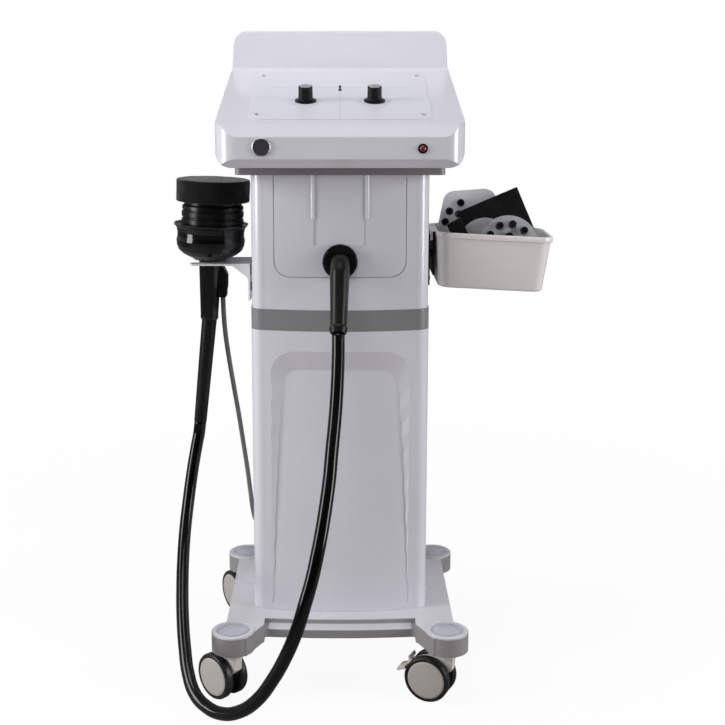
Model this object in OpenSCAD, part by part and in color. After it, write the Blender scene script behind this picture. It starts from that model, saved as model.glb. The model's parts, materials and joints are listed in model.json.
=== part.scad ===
// Trolley massage machine: a motor cabinet on casters drives a handpiece through a hose.
// Origin on the floor under the centre of the base, +X to the right, -Y to the front, +Z up.

/* [Base casting] */
// Height of the base underside above the floor
caster_h = 88; // [84:1:100]
// Height of the base casting
base_h = 30; // [26:1:40]
// Distance between the left and right caster axes
track = 340; // [330:2:360]
// Distance between the front and rear caster axes
wheelbase = 340; // [330:2:360]
// Radius of the round bosses over the casters
boss_r = 34; // [30:1:38]
// Width of the deck over its side beams
deck_w = 366; // [350:2:384]
// Distance from the centre to the front edge of the lower step
step_y = 150; // [142:1:158]
// Distance from the centre to the front edge of the deck
deck_y = 127; // [118:1:134]
// Rise of the bosses over the deck
rim_h = 2; // [1:0.5:4]
// Height of the cross beams' underside over the arms' underside
beam_rise = 8; // [4:1:10]
// Drop from the deck to the lower step
step_drop = 8; // [4:1:12]
// Half width of the straight front edge between the arms
arm_x = 122; // [112:1:130]
// Wall and rib thickness of the casting
base_wall = 5; // [4:0.5:7]
// Diameter of a boss cap
cap_d = 50; // [40:1:54]
// Height of the boss cap dome
cap_h = 6; // [3:0.5:8]

/* [Casters] */
// Wheel diameter
wheel_d = 75; // [70:1:76]
// Distance from the swivel axis back to the axle
trail = 27; // [22:1:30]
// Width of one wheel
tread_w = 14; // [11:1:18]
// Width of the caster body between the wheels
body_w = 14; // [13:0.5:16]
// Axle diameter
axle_d = 8; // [6:0.5:10]
// Stem diameter
stem_d = 10; // [8:0.5:10.5]
// Diameter of the wheel cover discs
disc_d = 62; // [50:1:64]
// Turn of the front left caster
front_left_turn = 135; // [0:1:359]
// Turn of the front right caster
front_right_turn = 155; // [0:1:359]
// Turn of the rear left caster
rear_left_turn = 123; // [0:1:359]
// Turn of the rear right caster
rear_right_turn = 165; // [0:1:359]

/* [Cabinet] */
// Width of the upper cabinet
upper_w = 281; // [274:1:286]
// How far the band and the lower cabinet stand out over it on each side
side_step = 1.5; // [0.5:0.5:3]
// Distance from the centre to the foremost line of the bowed front
cab_front = 98; // [92:1:104]
// Distance from the centre to the flat back
cab_rear = 105; // [98:1:110]
// How far the front bows out between the corners
bow = 14; // [10:0.5:16]
// Radius of the vertical corners
corner_r = 22; // [18:1:26]
// Wall of the cabinet shells
wall = 3; // [2.5:0.5:4]
// Height of the lower cabinet
lower_h = 470; // [440:5:500]
// Height of the grey band
band_h = 34; // [28:1:40]
// Height of the upper cabinet
upper_h = 214; // [208:1:224]
// Thickness of the plate that carries the console
plinth_h = 14; // [10:1:18]
// Half width of that plate
plinth_x = 162; // [154:1:168]

/* [Lower panel recess] */
// Width of the recess at the panel surface
recess_w = 222; // [200:2:226]
// Height of the recess top above the deck
recess_top = 437; // [400:1:440]
// Depth of the recess at its top
recess_d = 10; // [6:0.5:12]
// Depth of the recess at its foot
foot_d = 0.8; // [0.6:0.2:4]
// Width of the recess floor near its top
floor_w = 180; // [170:2:190]
// Width of the recess floor near its foot
foot_w = 208; // [196:2:212]
// Height of the sloped top border
recess_slope = 33; // [24:1:40]
// Corner radius of the recess at the panel surface
recess_r = 38; // [30:1:46]

/* [Front cover] */
// Width of the front cover
cover_w = 206; // [200:2:216]
// Height of the cover's lower edge above the bottom of the upper cabinet
cover_z0 = 53; // [46:1:55]
// Radius of its lower corners
cover_r = 24; // [15:1:30]
// Gap of the seam round the cover
seam = 0.9; // [0.6:0.1:1.4]
// Distance between the two raised ribs
rib_gap = 84; // [70:2:100]
// Length of the raised ribs
rib_l = 68; // [50:1:80]
// Height of the hose port above the bottom of the upper cabinet
port_h = 78; // [77:1:84]
// Diameter of the hose port ring
port_d = 55; // [50:1:60]

/* [Drive] */
// Motor diameter
motor_d = 90; // [70:1:100]
// Motor length
motor_l = 105; // [80:1:115]
// Motor shaft diameter
shaft_d = 10; // [8:0.5:14]
// Diameter of the drive coupling
coupling_d = 26; // [22:1:30]

/* [Console] */
// Half width of the console
con_x = 188; // [180:1:194]
// Distance from the centre to the console's front face
con_front = 168; // [160:1:174]
// Distance from the centre to the console's back
con_rear = 172; // [166:1:178]
// Height of the console's front edge
con_front_h = 64; // [58:1:70]
// Height of the control surface at its rear
con_slope_h = 147; // [140:1:155]
// Height of the console over all
con_h = 207; // [195:1:215]
// Chamfer under the front face
con_under = 14; // [10:1:16]
// Thickness of the console shell
con_wall = 3; // [2.5:0.5:4]
// Width of the control plate
plate_w = 280; // [260:2:300]
// Length of the control plate up the slope
plate_l = 260; // [240:2:266]
// Thickness of the control plate
plate_t = 1; // [0.8:0.2:2]
// Spacing of the two knobs
knob_gap = 108; // [90:2:130]
// Knob height
knob_h = 24; // [16:1:30]
// Knob body diameter
knob_d = 23; // [18:1:25]
// Knob skirt diameter
skirt_d = 34; // [28:1:38]
// Knob shaft diameter
pot_shaft_d = 6; // [5:0.5:6.5]
// Outer diameter of the start button ring
button_d = 28; // [24:1:30]
// Travel of the start button
button_travel = 2.5; // [1.5:0.5:4]
// Diameter of the pilot lamp
lamp_d = 13; // [10:1:16]

/* [Handpiece] */
// Distance of the handpiece axis from the centre plane
tool_x = 213; // [211:1:218]
// Distance of the handpiece axis behind the centre
tool_y = 8; // [0:1:12]
// Sideways lean of the handpiece in its holder
tool_lean = 2; // [1:0.5:3]
// Foam pad diameter
foam_d = 120; // [104:1:122]
// Foam pad thickness
foam_t = 36; // [25:1:38]
// Diameter of the neck ring under the pad
ring_d = 101; // [90:1:101]
// Diameter of the motor cup
cup_d = 112; // [110:1:114]
// Sideways offset of the crank and the head it drives
throw = 2.5; // [1:0.5:3]
// Diameter of the handle at its upper end
handle_d = 37; // [33:1:38]
// Diameter of the handle at its lower end
handle_tip_d = 29; // [27:1:31]
// Length of the handle below the holder
handle_l = 98; // [80:1:110]
// Length of the switch box
box_l = 53; // [46:1:60]
// Distance from the tool axis to the outer face of the switch box
box_x = 28.5; // [27:0.5:30]
// Length of the sleeve under the handle
sleeve_l = 178; // [150:2:184]
// Spindle diameter in the handpiece
spindle_d = 10; // [8:1:12]

/* [Holder] */
// Height of the holder plate above the bottom of the upper cabinet
holder_h = 64; // [60:1:70]
// Reach of the holder plate from the cabinet side
holder_reach = 102; // [98:1:110]
// Depth of the holder plate from front to back
holder_depth = 80; // [74:1:90]
// Sheet thickness of the holder
sheet_t = 3; // [2:0.5:4]
// Width of the open slot that holds the tool
slot_w = 44; // [42:0.5:46]
// Gap between the holder's leg and the cabinet
standoff = 5; // [3:0.5:8]
// Length of the holder's leg
holder_leg = 60; // [54:1:70]

/* [Accessory tray] */
// Length of the tray sideways
tray_w = 185; // [170:1:200]
// Depth of the tray from front to back
tray_depth = 130; // [120:1:140]
// Height of the tray
tray_h = 90; // [84:1:96]
// Draft of the tray walls, top to bottom
tray_draft = 8; // [4:0.5:10]
// Corner radius of the tray
tray_r = 20; // [14:1:26]
// Wall of the tray
tray_wall = 2.5; // [2:0.5:3.5]
// Droop of the tray
tray_droop = 3; // [0:0.5:4]
// Height of the tray rim above the bottom of the upper cabinet
tray_top = 120; // [110:1:126]
// Diameter of the nubbed heads
head_d = 96; // [80:1:98]
// Thickness of the nubbed heads
head_t = 9; // [6:1:12]
// Length of the rubber nubs
nub_l = 9; // [5:1:12]
// Width of the large foam block
block_w = 108; // [96:1:112]
// Height of the large foam block
block_h = 99; // [84:1:102]
// Thickness of the large foam block
block_t = 16; // [12:1:17]
// Height of the small foam block
slab_h = 88; // [76:1:92]
// Thickness of the small foam block
slab_t = 9.5; // [7:0.5:10]
// Height of the spotted pad
pad_h = 129; // [116:1:132]

/* [Cords] */
// Hose diameter
hose_d = 20; // [18:0.5:21]
// Switch cable diameter
cable_d = 8; // [6:0.5:9]

/* [Hidden] */
$fn = 64;
// Width of the lower cabinet and the band
lower_w = upper_w + 2 * side_step;

// Running clearance of shafts and pins
run = 0.05;
// Clearance of pressed and bonded pieces
press = 0.02;
// Gap between pieces that rest near each other
rest = 0.3;

deck_z = caster_h + base_h;
band_z = deck_z + lower_h;
upper_z = band_z + band_h;
plinth_z = upper_z + upper_h;
con_z = plinth_z + plinth_h;
port_z = upper_z + port_h;
wheel_r = wheel_d / 2;

// Radius of an arc that rises by sag over a half chord
function arc_radius(half, sag) = (half * half + sag * sag) / (2 * sag);

// A prism along X from an outline in Y and Z
module along_x(length) {
    rotate([90, 0, 90]) linear_extrude(length, center = true) children();
}

// A prism along Y from an outline in X and Z
module along_y(length) {
    rotate([90, 0, 0]) linear_extrude(length, center = true) children();
}

module mirror_copy(axis) {
    children();
    mirror(axis) children();
}

// A rectangle with round corners, from its low corner to its high corner
module round_rect(x0, y0, x1, y1, r) {
    translate([x0 + r, y0]) square([x1 - x0 - 2 * r, y1 - y0]);
    translate([x0, y0 + r]) square([x1 - x0, y1 - y0 - 2 * r]);
    for (x = [x0 + r, x1 - r], y = [y0 + r, y1 - r]) translate([x, y]) circle(r);
}

module ring(r_out, r_in, h) {
    difference() {
        cylinder(r = r_out, h = h);
        translate([0, 0, -1]) cylinder(r = r_in, h = h + 2);
    }
}

// Base casting

base_bow = 6;
base_bow_r = arc_radius(arm_x, base_bow);
base_fillet = 12;
// Direction from a boss centre to the point where the arm's inner edge meets it
arm_a = 43;
stem_depth = base_h - 8;
boss_top = deck_z + rim_h;
stem_flange_t = 1.5;

// Everything within y_edge of the centre line, front and rear, with bowed edges
module bowed_slab(y_edge) {
    intersection() {
        translate([0, base_bow_r - y_edge]) circle(base_bow_r, $fn = 360);
        translate([0, y_edge - base_bow_r]) circle(base_bow_r, $fn = 360);
    }
}

module arm_plan() {
    polygon([
        [arm_x, step_y - base_bow],
        [track / 2 - boss_r * cos(arm_a), wheelbase / 2 + boss_r * sin(arm_a)],
        [track / 2, wheelbase / 2],
        [deck_w / 2, step_y - base_bow],
        [deck_w / 2, 0],
        [arm_x, 0]
    ]);
    translate([track / 2, wheelbase / 2]) circle(boss_r);
}

module base_plan() {
    offset(r = -base_fillet) offset(delta = base_fillet) union() {
        mirror_copy([1, 0]) mirror_copy([0, 1]) arm_plan();
        intersection() {
            square([deck_w, 2 * step_y], center = true);
            bowed_slab(step_y);
        }
    }
}

module deck_plan() {
    difference() {
        base_plan();
        difference() {
            square([2 * arm_x, 2 * step_y + 20], center = true);
            bowed_slab(deck_y);
        }
    }
}

module each_boss() {
    for (sx = [-1, 1], sy = [-1, 1]) translate([sx * track / 2, sy * wheelbase / 2]) children();
}

module base_frame() {
    cells_x = 4;
    cells_y = 3;
    field_x = 2 * arm_x + 20;
    field_y = 2 * (deck_y - base_bow - base_wall);
    cell_x = (field_x - (cells_x - 1) * base_wall) / cells_x;
    cell_y = (field_y - (cells_y - 1) * base_wall) / cells_y;
    color("lightsteelblue") difference() {
        union() {
            translate([0, 0, caster_h]) linear_extrude(base_h - step_drop) base_plan();
            translate([0, 0, deck_z - step_drop]) linear_extrude(step_drop) deck_plan();
            each_boss() translate([0, 0, deck_z - 1]) {
                cylinder(r = boss_r - 0.6, h = rim_h);
                translate([0, 0, rim_h]) cylinder(r1 = boss_r - 0.6, r2 = boss_r - 1.6, h = 1);
            }
        }
        // The cross beams are shallower than the arms
        translate([-arm_x, -wheelbase / 2, caster_h - 1]) cube([2 * arm_x, wheelbase, beam_rise + 1]);
        for (i = [0 : cells_x - 1], j = [0 : cells_y - 1])
            translate([
                -field_x / 2 + i * (cell_x + base_wall),
                -field_y / 2 + j * (cell_y + base_wall),
                caster_h - 1
            ]) cube([cell_x, cell_y, base_h - base_wall + 1]);
        each_boss() {
            translate([0, 0, caster_h - 1]) cylinder(r = stem_d / 2 + press, h = stem_depth + 1);
            translate([0, 0, boss_top - 2]) cylinder(d = cap_d + 2 * rest, h = 3);
        }
    }
}

module boss_caps() {
    dome_r = arc_radius(cap_d / 2 - 2, cap_h - 2);
    color("lavender") each_boss() translate([0, 0, boss_top - 2]) {
        cylinder(d = cap_d, h = 3);
        translate([0, 0, 2]) intersection() {
            translate([0, 0, cap_h - 2 - dome_r]) sphere(dome_r, $fn = 96);
            cylinder(d = cap_d - 4, h = cap_h);
        }
    }
}

// Casters, each drawn with its swivel axis on Z and its trail along +X

collar_z = wheel_d + 1.5;
swivel_top = caster_h - stem_flange_t - rest;
stem_in = 24;
wheel_gap = 1;
wheel_in = body_w / 2 + wheel_gap;
wheel_out = wheel_in + tread_w;
disc_seat = 1.8;
brake_x = trail + 25;
brake_z = wheel_r + 18;
brake_web = 6;
brake_pin_d = 5;

module at_caster(sx, sy, turn) {
    translate([sx * track / 2, sy * wheelbase / 2, 0]) rotate(turn) children();
}

module caster_stems() {
    color("silver") each_boss() {
        translate([0, 0, swivel_top - stem_in]) cylinder(d = stem_d, h = caster_h + stem_depth - 1 - swivel_top + stem_in);
        translate([0, 0, caster_h - stem_flange_t]) cylinder(r = 13, h = stem_flange_t);
    }
}

module caster_side() {
    polygon([
        [-13, collar_z], [-11, collar_z - 22], [trail - 13, wheel_r - 4],
        [trail + 13, wheel_r - 4], [trail + 18, wheel_r + 4], [brake_x + 5, brake_z - 6],
        [brake_x + 6, brake_z + 2], [brake_x, brake_z + 7], [14, collar_z]
    ]);
    translate([trail, wheel_r]) circle(13);
}

module caster(braked) {
    color("antiquewhite") difference() {
        union() {
            along_y(body_w) caster_side();
            translate([0, 0, collar_z]) cylinder(r = 17, h = swivel_top - collar_z);
        }
        translate([0, 0, swivel_top - stem_in - 1]) cylinder(r = stem_d / 2 + run, h = stem_in + 2);
        along_y(body_w + 2) translate([trail, wheel_r]) circle(axle_d / 2 + press);
        if (braked) {
            translate([trail + 16, -brake_web / 2 - rest, wheel_r + 3]) cube([40, brake_web + 2 * rest, 40]);
            along_y(body_w + 2) translate([brake_x, brake_z]) circle(brake_pin_d / 2 + press);
        }
    }
    color("dimgray") {
        along_y(2 * (wheel_out - disc_seat - 1)) translate([trail, wheel_r]) circle(axle_d / 2);
        if (braked) along_y(body_w) translate([brake_x, brake_z]) circle(brake_pin_d / 2);
    }
}

// One wheel turned about its axle, profile in radius and distance from the caster's middle
module wheel_pair_profile(profile) {
    mirror_copy([0, 1, 0]) translate([trail, 0, wheel_r]) rotate([-90, 0, 0])
        rotate_extrude($fn = 96) polygon(profile);
}

module wheels() {
    hub_r = axle_d / 2 + run;
    seat_y = wheel_out - disc_seat;
    color("black") wheel_pair_profile([
        [hub_r, wheel_in], [wheel_r - 2.5, wheel_in], [wheel_r, wheel_in + 2.5], [wheel_r, wheel_out - 3],
        [wheel_r - 1, wheel_out - 1], [wheel_r - 3, wheel_out], [disc_d / 2 + press, wheel_out],
        [disc_d / 2 + press, seat_y], [hub_r, seat_y]
    ]);
}

module discs() {
    seat_y = wheel_out - disc_seat;
    color("antiquewhite") wheel_pair_profile([
        [0, seat_y], [disc_d / 2, seat_y], [disc_d / 2, wheel_out - 0.4], [disc_d / 2 - 3, wheel_out + 0.6],
        [disc_d / 4, wheel_out + 1.2], [0, wheel_out + 1.4]
    ]);
}

// Foot lever: the lower pedal locks the wheels, the upper one frees them
module brake() {
    pedal_w = 24;
    color("dimgray") translate([brake_x, 0, brake_z]) {
        difference() {
            along_y(brake_web) union() {
                circle(5.5);
                polygon([[-1, 5.4], [4.5, -3], [15, -10], [15.5, -6], [8.5, 5], [7.5, 8], [5, 8]]);
            }
            along_y(brake_web + 2) circle(brake_pin_d / 2 + run);
        }
        along_y(pedal_w) {
            polygon([[14.6, -11], [15, -6], [28, -11], [28.5, -15], [27, -16]]);
            polygon([[4.8, 7.6], [8, 5], [9.5, 12], [7, 13.5]]);
        }
    }
}

// Cabinet

// Everything behind the bowed front of a cabinet of width w, moved in by inset
module bow_disc(w, inset) {
    big_r = arc_radius(w / 2 - corner_r, bow);
    translate([0, big_r - cab_front]) circle(big_r - inset, $fn = 360);
}

module cab_plan(w, inset) {
    half = w / 2 - inset;
    front = cab_front - bow - inset - 0.2;
    round_rect(-half, -front, half, cab_rear - inset, corner_r - inset);
    intersection() {
        translate([corner_r - w / 2 - 2, -cab_front]) square([w - 2 * corner_r + 4, cab_front]);
        bow_disc(w, inset);
    }
}

module cab_wall(w, h) {
    linear_extrude(h) difference() {
        cab_plan(w, 0);
        cab_plan(w, wall);
    }
}

// The layer of the bowed front between two depths under its surface
module front_layer(w, half_x, depth_0, depth_1) {
    intersection() {
        translate([-half_x, -cab_front - 1]) square([2 * half_x, cab_front]);
        difference() {
            bow_disc(w, depth_0);
            bow_disc(w, depth_1);
        }
    }
}

rear_open_w = 160;
rear_open_z0 = 60;
rear_open_z1 = 400;
rear_lap = 12;
rear_sheet = 1.5;

// Depth of the bowed front behind its foremost line, x away from the middle
function bow_back(w, x) = x * x / (2 * arc_radius(w / 2 - corner_r, bow));

// Outline of the recess from its foot round the top, as points in X and Z
function recess_outline(low_x, high_x, z0, z1, r) =
    let (
        sides = 8,
        bends = 10,
        left = [for (i = [0 : sides - 1])
            let (f = i / sides)
            [-low_x + (low_x - high_x) * f, z0 + (z1 - r - z0) * f]],
        turn = [for (i = [0 : bends]) [r - high_x - r * cos(90 * i / bends), z1 - r + r * sin(90 * i / bends)]],
        half = concat(left, turn),
        tops = 10,
        top = [for (i = [1 : tops - 1]) [(high_x - r) * (2 * i / tops - 1), z1]]
    )
    concat(half, top, [for (i = [len(half) - 1 : -1 : 0]) [-half[i][0], half[i][1]]]);

// The border runs straight from the edge at the surface to the edge at the floor
module recess_cut() {
    foot = 20;
    edge = recess_outline(recess_w / 2, recess_w / 2, foot - 10, recess_top, recess_r);
    floor_edge = recess_outline(foot_w / 2, floor_w / 2, foot, recess_top - recess_slope, recess_r - 12);
    count = len(edge);
    planes = [-cab_front - 4, bow + 15 - cab_front];
    rings = [for (y = planes, i = [0 : count - 1])
        let (
            a = [edge[i][0], bow_back(lower_w, edge[i][0]) - cab_front, edge[i][1]],
            b = [floor_edge[i][0], bow_back(lower_w, floor_edge[i][0]) - cab_front + recess_d, floor_edge[i][1]],
            p = a + (b - a) * (y - a[1]) / (b[1] - a[1])
        )
        [p[0], y, p[2]]];
    faces = concat(
        [[for (i = [0 : count - 1]) i]],
        [[for (i = [count - 1 : -1 : 0]) count + i]],
        [for (i = [0 : count - 1])
            let (j = (i + 1) % count)
            [i, count + i, count + j]],
        [for (i = [0 : count - 1])
            let (j = (i + 1) % count)
            [i, count + j, j]]
    );
    // The floor leans forward until it all but meets the panel at its foot
    lean = atan((recess_d - foot_d) / (recess_top - recess_slope / 2 - foot));
    difference() {
        polyhedron(rings, faces, convexity = 4);
        translate([0, -cab_front, foot]) rotate([-lean, 0, 0]) translate([0, cab_front, -foot - 10])
            linear_extrude(lower_h + 20) bow_disc(lower_w, foot_d);
    }
}

module lower_cabinet() {
    color("white") translate([0, 0, deck_z]) difference() {
        union() {
            cab_wall(lower_w, lower_h);
            linear_extrude(recess_top + 14)
                front_layer(lower_w, recess_w / 2 + 5, wall - 1, recess_d + wall);
        }
        recess_cut();
        translate([-rear_open_w / 2, cab_rear - wall - 1, rear_open_z0])
            cube([rear_open_w, wall + 2, rear_open_z1 - rear_open_z0]);
        translate([cable_gland_x, cab_rear + 1, cable_gland_z - deck_z])
            rotate([90, 0, 0]) cylinder(r = gland_r + press, h = wall + 2);
        translate([0, 0, -deck_z]) at_cover_screws() screw_hole();
    }
}

module grey_band() {
    color("gray") translate([0, 0, band_z]) {
        cab_wall(lower_w, band_h);
        // Inner flange that carries the motor shelf
        translate([0, 0, band_h - 5]) linear_extrude(5) difference() {
            cab_plan(lower_w, wall - 0.5);
            cab_plan(lower_w, wall + 14);
        }
    }
}

// Outline of the front cover in X and Z, grown by gap, with its top left open upwards
module cover_outline(gap) {
    round_rect(-cover_w / 2 - gap, cover_z0 - gap, cover_w / 2 + gap, upper_h + 40, cover_r + gap);
}

module upper_cabinet() {
    ledge = 7;
    color("white") translate([0, 0, upper_z]) difference() {
        union() {
            cab_wall(upper_w, upper_h);
            // Ledge behind the seam of the front cover
            translate([0, 0, shelf_t + 1]) linear_extrude(upper_h - shelf_t - 1)
                front_layer(upper_w, cover_w / 2 + ledge, wall - 0.5, wall + 3);
        }
        translate([0, -cab_front, 0]) along_y(2 * (bow + wall)) cover_outline(seam);
        // Opening behind the seam
        translate([0, -cab_front, 0]) along_y(4 * (bow + wall)) cover_outline(-ledge);
        translate([0, 0, -upper_z]) {
            at_holder_screws() screw_hole();
            at_rail_screws() screw_hole();
        }
    }
    // The ledge is put back where the cover's cut went through it
    color("white") translate([0, 0, upper_z]) intersection() {
        linear_extrude(upper_h) front_layer(upper_w, cover_w / 2 + ledge, wall + press, wall + 3);
        translate([0, -cab_front, 0]) along_y(4 * (bow + wall)) difference() {
            cover_outline(seam + 1);
            cover_outline(-ledge);
            translate([0, port_h]) circle(port_bore_r + press);
        }
    }
}

port_bore_r = 20.8;

module front_cover() {
    shield_d = 1.2;
    rib_r = 3.5;
    shield_h = 110;
    color("white") translate([0, 0, upper_z]) difference() {
        union() {
            intersection() {
                linear_extrude(upper_h) front_layer(upper_w, cover_w / 2 + 5, 0, wall);
                translate([0, -cab_front, 0]) along_y(4 * (bow + wall)) cover_outline(0);
            }
            for (s = [-1, 1]) intersection() {
                translate([s * rib_gap / 2, rib_y() + rib_r * 0.55, upper_h - rib_l]) {
                    cylinder(r = rib_r, h = rib_l);
                    sphere(rib_r);
                }
                linear_extrude(upper_h) bow_disc(upper_w, -4);
            }
        }
        // Shallow field between the ribs
        intersection() {
            linear_extrude(upper_h + 1) front_layer(upper_w, rib_gap / 2 - 1, -0.5, shield_d);
            translate([0, 0, upper_h - shield_h]) linear_extrude(shield_h + 1) square(400, center = true);
        }
        translate([0, 0, port_h]) along_y(400) circle(port_bore_r);
        translate([0, -cab_front + bow + wall + 1, 0]) linear_extrude(upper_h)
            translate([-200, 0]) square([400, 200]);
    }
}

// Distance of the bowed front at the ribs
function rib_y() = -cab_front + rib_gap * rib_gap / (8 * arc_radius(upper_w / 2 - corner_r, bow));

module rear_cover() {
    half = rear_open_w / 2 + rear_lap;
    vent_l = 54;
    color("gainsboro") translate([0, cab_rear + rear_sheet / 2, deck_z]) difference() {
        along_y(rear_sheet) round_rect(-half, rear_open_z0 - rear_lap, half, rear_open_z1 + rear_lap, 6);
        for (i = [0 : 7], s = [-1, 1]) translate([s * 38, 0, rear_open_z1 - 40 - 12 * i])
            along_y(rear_sheet + 2) round_rect(-vent_l / 2, -2, vent_l / 2, 2, 1.9);
        translate([inlet_x, 0, inlet_z]) along_y(rear_sheet + 2) square([inlet_w, inlet_h], center = true);
        translate([0, -cab_rear - rear_sheet / 2, -deck_z]) at_cover_screws() screw_hole();
    }
}

screw_r = 1.6;
rear_screw_x = rear_open_w / 2 + rear_lap / 2;
rear_screw_z = [rear_open_z0 + 10, (rear_open_z0 + rear_open_z1) / 2, rear_open_z1 - 10];
inlet_x = 50;
inlet_z = 90;
inlet_w = 28;
inlet_h = 20;

screw_l = 10;

// A pan head screw with its head on +Z
module screw() {
    cylinder(r1 = 3.7, r2 = 2.6, h = 1.6);
    translate([0, 0, -screw_l]) cylinder(r = screw_r, h = screw_l);
}

module screw_hole() {
    cylinder(r = screw_r + press, h = 2 * screw_l + 6, center = true);
}

// Where the screws sit, their heads outwards
module at_cover_screws() {
    for (x = [-1, 1], z = rear_screw_z)
        translate([x * rear_screw_x, cab_rear + rear_sheet, deck_z + z]) rotate([-90, 0, 0]) children();
}

module at_holder_screws() {
    for (y = holder_screw_y, z = holder_screw_z)
        translate([-upper_w / 2 - standoff - sheet_t, y, z]) rotate([0, -90, 0]) children();
}

module at_rail_screws() {
    for (y = rail_screw_y)
        translate([upper_w / 2 + rail_t, y, rail_screw_z]) rotate([0, 90, 0]) children();
}

module at_plate_screws() {
    on_slope() for (s = [-1, 1], y = plate_screw_y)
        translate([s * plate_screw_x, y, plate_t]) children();
}

module screws() {
    color("silver") {
        at_cover_screws() screw();
        at_holder_screws() screw();
        at_rail_screws() screw();
        at_plate_screws() screw();
    }
}

module mains_inlet() {
    flange_w = 40;
    flange_h = 30;
    color("dimgray") translate([inlet_x, cab_rear + rear_sheet, deck_z + inlet_z]) difference() {
        union() {
            translate([0, 1.5, 0]) along_y(3) round_rect(-flange_w / 2, -flange_h / 2, flange_w / 2, flange_h / 2, 4);
            translate([0, -11, 0]) along_y(22) square([inlet_w - 2 * press, inlet_h - 2 * press], center = true);
        }
        translate([0, -7, 0]) along_y(24) round_rect(-12, -8, 12, 8, 3);
    }
    color("silver") for (x = [-7, 0, 7])
        translate([inlet_x + x, cab_rear - 12, deck_z + inlet_z + (x == 0 ? 2 : -2)]) cube([2, 12.2, 4], center = true);
}

// Drive inside the upper cabinet

shelf_t = 3;
motor_y0 = -18;
cradle_h = port_h - shelf_t - motor_d / 2;

module motor_shelf() {
    color("silver") translate([0, 0, upper_z]) difference() {
        union() {
            linear_extrude(shelf_t) cab_plan(upper_w, wall + 1);
            // Cradle blocks under the motor
            for (y = [motor_y0 + 12, motor_y0 + motor_l - 24])
                translate([-motor_d / 3, y, shelf_t - 0.5]) cube([motor_d * 2 / 3, 12, cradle_h + motor_d / 6]);
        }
        translate([0, motor_y0 + motor_l / 2, port_h]) along_y(motor_l + 10) circle(motor_d / 2 + press);
    }
}

module motor() {
    color("slategray") translate([0, motor_y0, port_z]) rotate([-90, 0, 0]) difference() {
        union() {
            cylinder(d = motor_d, h = motor_l);
            translate([0, 0, -6]) cylinder(d = motor_d * 0.4, h = 7);
        }
        translate([0, 0, -7]) cylinder(r = shaft_d / 2 + run, h = motor_l * 0.6);
    }
}

// Motor shaft with the coupling that takes the core of the hose
module drive_coupling() {
    shaft_in = motor_l * 0.5;
    color("gray") translate([0, motor_y0, port_z]) rotate([90, 0, 0]) {
        translate([0, 0, -shaft_in]) cylinder(d = shaft_d, h = shaft_in + 30);
        difference() {
            translate([0, 0, 12]) cylinder(d = coupling_d, h = 38);
            translate([0, 0, 34]) cylinder(r = 6, h = 20, $fn = 4);
        }
    }
}

module control_board() {
    board = [150, 110, 1.6];
    lift = 10;
    board_z = con_z + con_wall;
    color("darkgreen") translate([-board[0] / 2, -50, board_z + lift]) cube(board);
    color("black") {
        for (x = [-60, 60], y = [-42, 52]) translate([x, y, board_z]) cylinder(r = 3, h = lift);
        translate([-50, -20, board_z + lift + board[2]]) cube([36, 30, 24]);
        translate([10, -10, board_z + lift + board[2]]) cylinder(r = 11, h = 22);
        translate([38, 6, board_z + lift + board[2]]) cube([20, 26, 14]);
    }
}

// Hose port and hose

port_front = 8;
sleeve_r = 15;
sleeve_tip_r = 12.6;
bend_r = 26;
bend_a = 62;
bend_y = -cab_front - port_front - 2;
port_sleeve_l = 96;
port_lean = 1.5;

module hose_port() {
    color("black") translate([0, -cab_front, port_z]) rotate([90, 0, 0]) difference() {
        union() {
            rotate_extrude($fn = 96) polygon([
                [0, 0], [port_d / 2, 0], [port_d / 2, port_front - 3], [port_d / 2 - 2.5, port_front],
                [0, port_front]
            ]);
            translate([0, 0, -wall - 7]) cylinder(r = port_bore_r - press, h = wall + 8);
            // Lock nut behind the cover
            translate([0, 0, -wall - 9]) cylinder(r = port_bore_r + 4, h = 5.5);
        }
        translate([0, 0, -30]) cylinder(r = sleeve_r + 1.2 + press, h = 60);
    }
}

module port_sleeve() {
    color("darkslategray") translate([0, 0, port_z]) rotate([0, port_lean, 0]) difference() {
        union() {
            translate([0, bend_y, 0]) rotate([-90, 0, 0]) cylinder(r = sleeve_r, h = -cab_front - bend_y + 6);
            translate([0, -cab_front - port_front + 1, 0]) rotate([-90, 0, 0]) cylinder(r = sleeve_r + 1.2, h = 12);
            translate([0, bend_y, -bend_r]) rotate([90, 0, 90]) rotate([0, 0, 90])
                rotate_extrude(angle = bend_a, $fn = 96) translate([bend_r, 0]) circle(sleeve_r);
            translate([0, bend_y - bend_r * sin(bend_a), -bend_r + bend_r * cos(bend_a)])
                rotate([90 + bend_a, 0, 0]) {
                    translate([0, 0, -1]) cylinder(r = sleeve_r + 0.4, h = 2);
                    cylinder(r1 = sleeve_r + 0.4, r2 = sleeve_tip_r, h = port_sleeve_l - 8);
                    translate([0, 0, port_sleeve_l - 12]) cylinder(r1 = sleeve_tip_r, r2 = sleeve_tip_r + 2, h = 4.01);
                    translate([0, 0, port_sleeve_l - 8]) cylinder(r1 = sleeve_tip_r + 2, r2 = sleeve_tip_r, h = 8);
                }
        }
        translate([0, bend_y, 0]) rotate([-90, 0, 0]) translate([0, 0, 4]) cylinder(r = 8, h = 60);
    }
}

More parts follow.
